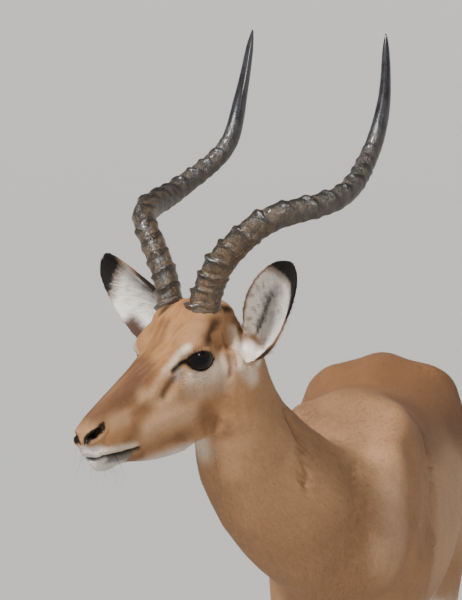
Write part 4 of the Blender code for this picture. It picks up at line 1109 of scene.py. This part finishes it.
def tuft_sizes(points, part):
    """The size of a tuft at each point: smaller on the head, the ears, the legs and the feet."""
    size = 1 - 0.45 * part["head"] - 0.2 * part["legs"] * (1 - part["head"]) - 0.35 * part["ears"]
    muzzle = ramp(head_places(points)[:, 0], 0.06, 0.15) * part["head"]
    return size * (1 - 0.4 * muzzle) * (1 - 0.35 * part["feet"])


class SkinSample:
    """Roots scattered over the skin, with what the skin says at each."""

    def __init__(self, skin, weights, count, seed):
        mesh = skin.data
        rng = np.random.default_rng(seed)
        corners = np.empty(len(mesh.loops), np.int32)
        mesh.loops.foreach_get("vertex_index", corners)
        corners = corners.reshape(-1, 3)
        points, normals = read(mesh.vertices, "co", 3), read(mesh.vertices, "normal", 3)
        tones = read(mesh.attributes["coat"].data, "color", 4)[:, :3]
        spots = read(mesh.uv_layers["OFBake"].data, "uv", 2).reshape(-1, 3, 2)
        a, b, c = (points[corners[:, k]] for k in range(3))
        area = np.linalg.norm(np.cross(b - a, c - a), axis=1) / 2
        wanted = area * weights[corners].mean(axis=1)
        wanted *= count / wanted.sum()
        number = np.floor(wanted + rng.random(len(wanted))).astype(int)
        face = np.repeat(np.arange(len(number)), number)
        share = rng.random((len(face), 2))
        over = share.sum(axis=1) > 1
        share[over] = 1 - share[over]
        share = np.column_stack((1 - share.sum(axis=1), share))
        self.rng, self.count = rng, len(face)
        self.root = np.einsum("nk,nkd->nd", share, points[corners[face]])
        self.normal = unit(np.einsum("nk,nkd->nd", share, normals[corners[face]]))
        self.tone = np.einsum("nk,nkd->nd", share, tones[corners[face]])
        self.spot = np.einsum("nk,nkd->nd", share, spots[face])


def unwrap(piece):
    """An unwrap of the piece's own shape, in a UV map named OFBake."""
    piece.data.uv_layers.new(name="OFBake")
    bpy.ops.object.select_all(action="DESELECT")
    piece.select_set(True)
    bpy.context.view_layer.objects.active = piece
    bpy.ops.object.mode_set(mode="EDIT")
    bpy.ops.mesh.select_all(action="SELECT")
    bpy.ops.uv.smart_project(angle_limit=math.radians(66), island_margin=0.002)
    bpy.ops.object.mode_set(mode="OBJECT")


def dress(piece, material, slot, *nodes):
    """Gives a piece its finish, and sets it on the frame for the solids it stands for."""
    piece.data.materials.clear()
    piece.data.materials.append(material)
    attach(piece, "root")
    if nodes:
        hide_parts(*nodes)
    return piece


# ---------------------------------------------------------------- horns
def horn_line(side, steps):
    """Points along a horn's middle, from its base to its tip."""
    axes = np.array((HEAD_LEFT * side, LEVEL_AHEAD, UP))
    base = in_head(np.array(HORN_BASE) * (1, side, 1))
    return base + curve_rows(HORN_PATH, steps) * HORN_SCALE[side] @ axes


def horn_swell(share, angle, side):
    """How far the horn's wall stands out at a share of its length and an angle round it, as a factor."""
    ringed = share / RINGED_SHARE
    place = HORN_RINGS * (ringed + 0.035 * np.sin(2 * math.pi * ringed))
    place = place + 0.22 * np.cos(angle + 0.9) + 0.05 * np.sin(angle * 3 + place * 1.7)
    number, phase = np.floor(place), place % 1.0
    ridge = np.exp(-((phase - 0.62) / np.where(phase < 0.62, 0.2, 0.09)) ** 2)
    ridge -= 0.35 * np.exp(-((phase - 0.86) / 0.1) ** 2)
    front = ramp(np.cos(angle), -0.55, 0.75)
    fade = (1 - ramp(ringed, 0.86, 1.06)) * ramp(share, 0.0, 0.02)
    knobs = 1 + 0.3 * np.sin(angle * 5 + number * 2.4) + 0.22 * np.sin(number * 4.1 + side)
    small = np.exp(-((place * 1.7 % 1.0 - 0.5) / 0.2) ** 2) * (1 - front) * 0.045
    grain = 0.006 * np.sin(angle * 19 + 5 * np.sin(30 * share)) * fade
    return 1 + (0.2 * ridge * (0.25 + 0.75 * front) * knobs * (1 - 0.35 * ringed) + small) * fade + grain


def horn_piece(side):
    """A ringed horn: a sheet laid along its line and closed round it, with a crust at its root."""
    line = horn_line(side, 12)
    start = line[1] - line[0]
    line = np.vstack((line[0] - unit(start[None])[0] * HORN_ROOT, line))
    lengths = np.concatenate(([0], np.cumsum(np.linalg.norm(np.diff(line, axis=0), axis=1))))
    stations = np.linspace(0, TIP_FROM, RINGED_LOOPS)
    stations = np.concatenate((stations, np.linspace(TIP_FROM, 1, TIP_LOOPS)[1:]))
    centres = np.stack([np.interp(stations * lengths[-1], lengths, line[:, k]) for k in range(3)], axis=1)
    for _ in range(HORN_EASING):
        centres[1:-1] = (centres[:-2] + centres[2:]) / 2
    ways = unit(np.gradient(centres, axis=0))
    shares = np.clip((stations * lengths[-1] - HORN_ROOT) / (lengths[-1] - HORN_ROOT), 0, 1)
    radii = np.interp(shares, *curve_rows(HORN_RADII, 8).T)
    angles = 2 * math.pi * np.arange(HORN_SIDES + 1) / HORN_SIDES
    turn = math.radians(HORN_TWIST)
    across = np.array((math.cos(turn), -side * math.sin(turn), 0)) @ HEAD_AXES
    places, swells = [], []
    for centre, way, share, radius in zip(centres, ways, shares, radii):
        across = unit((across - way * (across @ way))[None])[0]
        other = np.cross(way, across)
        oval = 1 + HORN_OVAL * np.cos(2 * angles) * (1 - ramp(share, 0.3, 0.7))
        reach = radius * oval * horn_swell(share, angles, side)
        if share < CRUST_SHARE:
            reach = reach * (CRUST_SWELL + 0.03 * np.sin(angles * 9) + 0.02 * np.sin(angles * 17 + 1))
        circle = np.outer(np.cos(angles) * reach, across) + np.outer(np.sin(angles) * reach, other)
        places.append(centre + circle)
        swells.append(reach / radius)
    last = len(stations) - 1
    bm = bmesh.new()
    bmesh.ops.create_grid(bm, x_segments=HORN_SIDES, y_segments=last, size=1.0)
    along, raised = (bm.verts.layers.float.new(name) for name in ("along", "raised"))
    for v in bm.verts:
        row, column = round((v.co.y + 1) / 2 * last), round((v.co.x + 1) / 2 * HORN_SIDES)
        v.co, v[along], v[raised] = places[row][column], shares[row], swells[row][column]
    bmesh.ops.remove_doubles(bm, verts=bm.verts, dist=1e-6)
    bmesh.ops.holes_fill(bm, edges=bm.edges[:], sides=0)
    return object_of(HORNS[side] + "_ringed", bm)


def horn_finish():
    """Horn: brown with yellow flecks at the root, grey at the middle, blue black and smooth to the tip."""
    palette = colours()
    finish = Finish("impala_horn", Specular_IOR_Level=0.7, Coat_Weight=0.24, Coat_Roughness=0.14)
    along = finish.attribute("along")
    grain = finish.noise(230, 4, 0.7)
    flecks = finish.noise(420, 3, 0.6).clamped(0.58, 0.66)
    broad = finish.noise(60, 3, 0.6)
    base = finish.mix(along.clamped(0.1, 0.5), palette.horn_brown, palette.horn_grey)
    base = finish.mix(along.clamped(0.62, 0.8), base, palette.horn_tip)
    rough = 1 - along.clamped(0.62, 0.82)
    raised = finish.attribute("raised").clamped(1.0, 1.11) * rough
    dark = finish.noise(120, 4, 0.65, (1.0, 1.0, 0.45)).clamped(0.38, 0.6)
    base = finish.tone(base, (0.06 + 0.5 * grain + 0.78 * dark + 0.28 * broad) * (1.28 - 1.02 * raised))
    base = finish.mix(flecks * (1 - along.clamped(0.2, 0.55)) * 0.6, base, (0.3, 0.19, 0.08))
    base = finish.mix((1 - along.clamped(0.012, 0.03)) * 0.6, base, (0.1, 0.074, 0.05))
    even = (0.05 + rough) * (1 - 0.55 * raised)
    bump = finish.bump((grain + 0.6 * finish.noise(800, 2, 0.5) + 0.4 * dark) * even, 0.0018, 0.9)
    dull = 0.24 + rough * (0.06 + 0.3 * grain) - 0.1 * raised
    return finish.done(Base_Color=base, Roughness=dull, Normal=bump)


# ---------------------------------------------------------------- eyes and hooves
def eye_piece(side):
    """An eyeball, a dark iris with a wide level pupil."""
    centre, outward, ahead, up = eye_axes(side)
    bm = bmesh.new()
    turn = Matrix((Vector(ahead), Vector(up), Vector(outward))).transposed().to_4x4()
    place = Matrix.Translation(Vector(centre)) @ turn
    bmesh.ops.create_uvsphere(bm, u_segments=64, v_segments=48, radius=EYEBALL, matrix=place)
    piece = object_of(EYES[side] + "_ball", bm)
    away = read(piece.data.vertices, "co", 3) - centre
    level, rise, out = away @ ahead, away @ up, away @ outward
    pupil = 1 - ramp(np.hypot(level / PUPIL_HALF_WIDTH, rise / PUPIL_HALF_HEIGHT), 0.85, 1.1)
    iris = 1 - ramp(np.hypot(level, rise), *IRIS_RADIUS)
    tone = np.tile(EYE_TONE, (len(away), 1))
    tone = tone + (np.array(IRIS_TONE) - tone) * iris[:, None]
    tone = tone + (np.array(PUPIL_TONE) - tone) * (pupil * (out > 0))[:, None]
    paint(piece.data, "coat", tone)
    return piece


def eye_finish():
    """A wet dark eye."""
    finish = Finish("impala_eye", Specular_IOR_Level=0.5, IOR=1.26)
    coat = finish.attribute("coat", "Color")
    shade = finish.tone(coat, 0.7 + 0.6 * finish.noise(700, 2, 0.5))
    return finish.done(Base_Color=shade, Roughness=0.06 + 0.05 * finish.noise(300, 1, 0.5))


def hoof_piece(node):
    """A hoof with rounded edges."""
    bm = merged_copy(node)
    bmesh.ops.bevel(
        bm, geom=bm.edges[:], offset=HOOF_EDGE, segments=2, profile=0.5, affect="EDGES", material=-1
    )
    return object_of(node + "_rounded", bm)


def hoof_finish():
    """Dark horn with growth rings across it."""
    finish = Finish("impala_hoof", Specular_IOR_Level=0.4)
    rings = finish.noise(160, 2, 0.5, (0.15, 0.15, 3.0))
    base = finish.tone(tuple(colours().hoof), 0.6 + 0.8 * rings)
    bump = finish.bump(rings, 0.0008, 0.7)
    return finish.done(Base_Color=base, Roughness=0.34 + 0.2 * rings, Normal=bump)


# ---------------------------------------------------------------- operators
class IMPALA_OT_skin(bpy.types.Operator):
    """Makes the skin with its markings and painted shading"""

    bl_idname = "impala.skin"
    bl_label = "Skin"

    def execute(self, context):
        skin = model_skin()
        unwrap(skin)
        dress(skin, skin_finish(), "rufous_coat", *FLESH, *EARS.values())
        return {"FINISHED"}


class IMPALA_OT_coat(bpy.types.Operator):
    """Lays the short coat over the skin, tuft by tuft"""

    bl_idname = "impala.coat"
    bl_label = "Coat"

    def execute(self, context):
        skin = bpy.data.objects["skin"]
        part = regions(read(skin.data.vertices, "co", 3))
        weights = np.ones(len(skin.data.vertices))
        for name, more in COAT_DENSITY.items():
            weights += more * part[name]
        weights = weights * (1 - read(skin.data.attributes["wet"].data, "value", 1)) * (1 - part["tail"])
        sample = SkinSample(skin, weights, sizes().tufts, seed=5)
        part = regions(sample.root)
        way = lie_of_coat(sample.root, sample.normal, part)
        rng, count = sample.rng, sample.count
        way = unit(way + 0.06 * rng.normal(size=(count, 3)))
        size = tuft_sizes(sample.root, part)
        length = TUFT_LENGTH * size * rng.uniform(0.75, 1.25, count)
        width = TUFT_WIDTH * size ** 0.5 * rng.uniform(0.8, 1.2, count)
        lift = 0.0003 + coat_depths(sample.root) * rng.uniform(0.05, 0.38, count)
        tone = sample.tone * rng.uniform(0.8, 1.16, count)[:, None]
        face = mirrored(head_places(sample.root))
        chance = np.zeros(count)
        for path, reach, soft, strength in SPECKLED:
            chance = np.maximum(chance, strength * near_path(face, path, reach, soft))
        tone[rng.random(count) < chance] = colours().black
        material = coat_finish("impala_coat")
        root = sample.root - sample.normal * TUFT_ROOT
        order = np.argsort(sample.root[:, 1], kind="stable")
        pieces = math.ceil(count * TUFT_TRIANGLES / PIECE_TRIANGLES)
        for k, chosen in enumerate(np.array_split(order, pieces)):
            piece = hair_mesh(
                f"coat_{k + 1}", root[chosen], way[chosen], sample.normal[chosen], length[chosen],
                width[chosen], lift[chosen], tone[chosen], sample.spot[chosen], droop=np.zeros(len(chosen)),
            )
            dress(piece, material, "rufous_coat")
        return {"FINISHED"}


def long_hair_places(points):
    """How densely the long hairs of each kind stand at each point of the skin."""
    found = {"ear": np.zeros(len(points)), "lash": np.zeros(len(points))}
    for side in EARS:
        leaf = on_ear(points, side)
        mine = (1 - ramp(leaf[:, 0], 0.003, 0.006)) * (leaf[:, 3] > 0) * (1 - ramp(leaf[:, 2], 0.66, 0.8))
        found["ear"] = np.maximum(found["ear"], mine * (1 - ramp(np.abs(leaf[:, 1]), 0.8, 0.95)))
        inside, away = lid_margin(points, side)
        above = ramp(away @ eye_axes(side)[3], 0.001, 0.004)
        found["lash"] = np.maximum(found["lash"], ramp(inside, -0.0024, -0.0016) * (inside < -0.0004) * above)
    face = mirrored(head_places(points))
    found["whisker"] = near_path(face, ((0.172, 0.01, -0.028), (0.15, 0.021, -0.04)), 0.009, 0.5)
    found["whisker"] += near_path(face, ((0.16, 0.008, -0.056), (0.14, 0.012, -0.06)), 0.008, 0.5)
    found["tail"] = regions(points)["tail"]
    found["hock"] = near_path(on_body(points), HOCK_TUFT, 0.013, 0.5)
    return found


LONG_HAIR = (  # name, how many, length, width, lift, droop, steps, slot
    ("ear", 7000, 0.0135, 0.0009, 0.0044, 0.0, 2, "white_coat"),
    ("lash", 150, 0.0075, 0.0005, 0.0, -0.002, 2, "rufous_coat"),
    ("whisker", 70, 0.032, 0.00042, 0.0, 0.006, 4, "white_coat"),
    ("tail", 2600, 0.052, 0.0015, 0.005, 0.0, 3, "white_coat"),
    ("hock", 900, 0.016, 0.001, 0.002, 0.0, 2, "rufous_coat"),
)


def hair_ways(name, sample):
    """Which way the long hairs of a kind point."""
    root = sample.root
    side = np.sign(head_places(root)[:, 1:2])
    ahead, left, up = HEAD_AXES
    if name == "ear":
        found = np.zeros((sample.count, 3))
        for k in EARS:
            leaf = on_ear(root, k)
            lower = np.array(ear_line(k)[4])
            apart = np.clip(leaf[:, 1] * 4, -1, 1)[:, None] * lower * 0.8
            found += (leaf[:, 4:] + apart) * (leaf[:, 0] < 0.02)[:, None]
        return found
    if name == "lash":
        centres = np.where(side > 0, eye_axes(1)[0], eye_axes(-1)[0])
        return unit(root - centres) + 0.5 * up
    if name == "whisker":
        return 0.35 * ahead + side * 0.5 * left - 0.9 * up
    return np.tile((0.0, 0.06, -1.0), (sample.count, 1))


class IMPALA_OT_long_hair(bpy.types.Operator):
    """Adds the long hairs of ears, lids, lips, tail and hocks"""

    bl_idname = "impala.long_hair"
    bl_label = "Long hair"

    def execute(self, context):
        skin = bpy.data.objects["skin"]
        places = long_hair_places(read(skin.data.vertices, "co", 3))
        material = coat_finish("impala_long_hair")
        for name, count, length, width, lift, droop, steps, slot in LONG_HAIR:
            sample = SkinSample(skin, places[name], count, seed=7)
            rng, number = sample.rng, sample.count
            way = unit(unit(hair_ways(name, sample)) + 0.16 * rng.normal(size=(number, 3)))
            size = rng.uniform(0.6, 1.2, number)
            tone = sample.tone * rng.uniform(0.6, 1.14, number)[:, None]
            if name == "whisker":
                tone = tone * 0.12
            if name == "ear":
                tone = np.minimum(tone * 1.2, 0.92)
            root = sample.root - sample.normal * LONG_HAIR_ROOT
            piece = hair_mesh(
                "hair_" + name, root, way, sample.normal, length * size, width * size, lift * size, tone,
                sample.spot, droop * size, steps,
            )
            dress(piece, material, slot)
        return {"FINISHED"}


class IMPALA_OT_eyes(bpy.types.Operator):
    """Makes the eyes"""

    bl_idname = "impala.eyes"
    bl_label = "Eyes"

    def execute(self, context):
        material = eye_finish()
        for side, node in EYES.items():
            dress(eye_piece(side), material, "eye", node)
        return {"FINISHED"}


class IMPALA_OT_horns(bpy.types.Operator):
    """Makes the ringed horns"""

    bl_idname = "impala.horns"
    bl_label = "Horns"

    def execute(self, context):
        material = horn_finish()
        for side, node in HORNS.items():
            dress(horn_piece(side), material, "horn", node)
        return {"FINISHED"}


class IMPALA_OT_hooves(bpy.types.Operator):
    """Makes the hooves"""

    bl_idname = "impala.hooves"
    bl_label = "Hooves"

    def execute(self, context):
        material = hoof_finish()
        for node in HOOVES:
            dress(hoof_piece(node), material, "hoof", node)
        return {"FINISHED"}


class IMPALA_OT_stage(bpy.types.Operator):
    """Sets the floor, the lights and the camera"""

    bl_idname = "impala.stage"
    bl_label = "Stage"

    def execute(self, context):
        bm = bmesh.new()
        profile = [bm.verts.new((reach, 0, rise)) for reach, rise in FLOOR_PROFILE]
        lines = [bm.edges.new(pair) for pair in zip(profile, profile[1:])]
        bmesh.ops.spin(
            bm, geom=profile + lines, axis=UP, cent=(0, 0, 0), angle=2 * math.pi, steps=96, use_merge=True
        )
        bmesh.ops.remove_doubles(bm, verts=bm.verts, dist=1e-4)
        floor = object_of("floor", bm)
        finish = Finish("floor", Base_Color=FLOOR_COLOUR, Roughness=0.9, Specular_IOR_Level=0.1)
        floor.data.materials.append(finish.material)
        set_lights(context.scene)
        set_camera(context.scene)
        return {"FINISHED"}


def set_lights(scene):
    """A pale sky, a soft sun from ahead, a faint light from behind and a lamp for the glint in the eye."""
    world = bpy.data.worlds.new("studio")
    world.use_nodes = True
    sky = world.node_tree.nodes["Background"]
    sky.inputs["Color"].default_value = SKY_COLOUR
    sky.inputs["Strength"].default_value = sizes().fill_light
    scene.world = world
    for name, strength, angle, way in (
        ("key", sizes().key_light, KEY_SPREAD, KEY_WAY),
        ("rim", RIM_STRENGTH, RIM_SPREAD, RIM_WAY),
    ):
        lamp = bpy.data.lights.new(name, "SUN")
        lamp.energy, lamp.angle = strength, math.radians(angle)
        light = bpy.data.objects.new(name, lamp)
        light.rotation_euler = way.to_track_quat("-Z", "Y").to_euler()
        scene.collection.objects.link(light)
    panel = bpy.data.lights.new("catch light", "AREA")
    panel.energy, panel.size, panel.shape = sizes().catch_light, CATCH_SIZE, "DISK"
    light = bpy.data.objects.new("catch light", panel)
    light.location = Vector(eye_axes(1)[0]) + CATCH_WAY * CATCH_AWAY
    light.rotation_euler = CATCH_WAY.to_track_quat("Z", "Y").to_euler()
    scene.collection.objects.link(light)


def set_camera(scene):
    """A long lens, a little to the animal's left of straight ahead and 3 degrees down."""
    turn, drop = math.radians(CAMERA_TURN), math.radians(CAMERA_DROP)
    level = Vector((-math.sin(turn), math.cos(turn), 0))
    ahead = level * math.cos(drop) - UP * math.sin(drop)
    right = Vector((math.cos(turn), math.sin(turn), 0))
    rise = right.cross(ahead)
    lens = bpy.data.cameras.new("camera")
    lens.lens, lens.sensor_width, lens.clip_end = sizes().lens, 36, 4000
    camera = bpy.data.objects.new("camera", lens)
    camera.location = WITHERS - ahead * CAMERA_AWAY - right * CAMERA_ASIDE + rise * CAMERA_RISE
    camera.rotation_euler = ahead.to_track_quat("-Z", "Y").to_euler()
    scene.collection.objects.link(camera)
    scene.camera = camera


class IMPALA_PT_panel(bpy.types.Panel):
    """Lists the steps of the impala in the sidebar"""

    bl_idname = "IMPALA_PT_panel"
    bl_label = "Impala"
    bl_space_type = "VIEW_3D"
    bl_region_type = "UI"
    bl_category = "Impala"

    def draw(self, context):
        for operator in OPERATORS:
            self.layout.operator(operator.bl_idname)
        for group in (context.scene.impala_sizes, context.scene.impala_colours):
            for name in type(group).__annotations__:
                self.layout.prop(group, name)


OPERATORS = (
    IMPALA_OT_stage,
    IMPALA_OT_skin,
    IMPALA_OT_coat,
    IMPALA_OT_long_hair,
    IMPALA_OT_eyes,
    IMPALA_OT_horns,
    IMPALA_OT_hooves,
)
CLASSES = (ImpalaColours, ImpalaSizes, *OPERATORS, IMPALA_PT_panel)


def register():
    for item in CLASSES:
        bpy.utils.register_class(item)
    bpy.types.Scene.impala_colours = PointerProperty(type=ImpalaColours)
    bpy.types.Scene.impala_sizes = PointerProperty(type=ImpalaSizes)


def unregister():
    del bpy.types.Scene.impala_sizes
    del bpy.types.Scene.impala_colours
    for item in reversed(CLASSES):
        bpy.utils.unregister_class(item)


def main():
    register()
    bpy.ops.impala.stage()
    bpy.ops.impala.skin()
    bpy.ops.impala.coat()
    bpy.ops.impala.long_hair()
    bpy.ops.impala.eyes()
    bpy.ops.impala.horns()
    bpy.ops.impala.hooves()


if __name__ == "__main__":
    main()
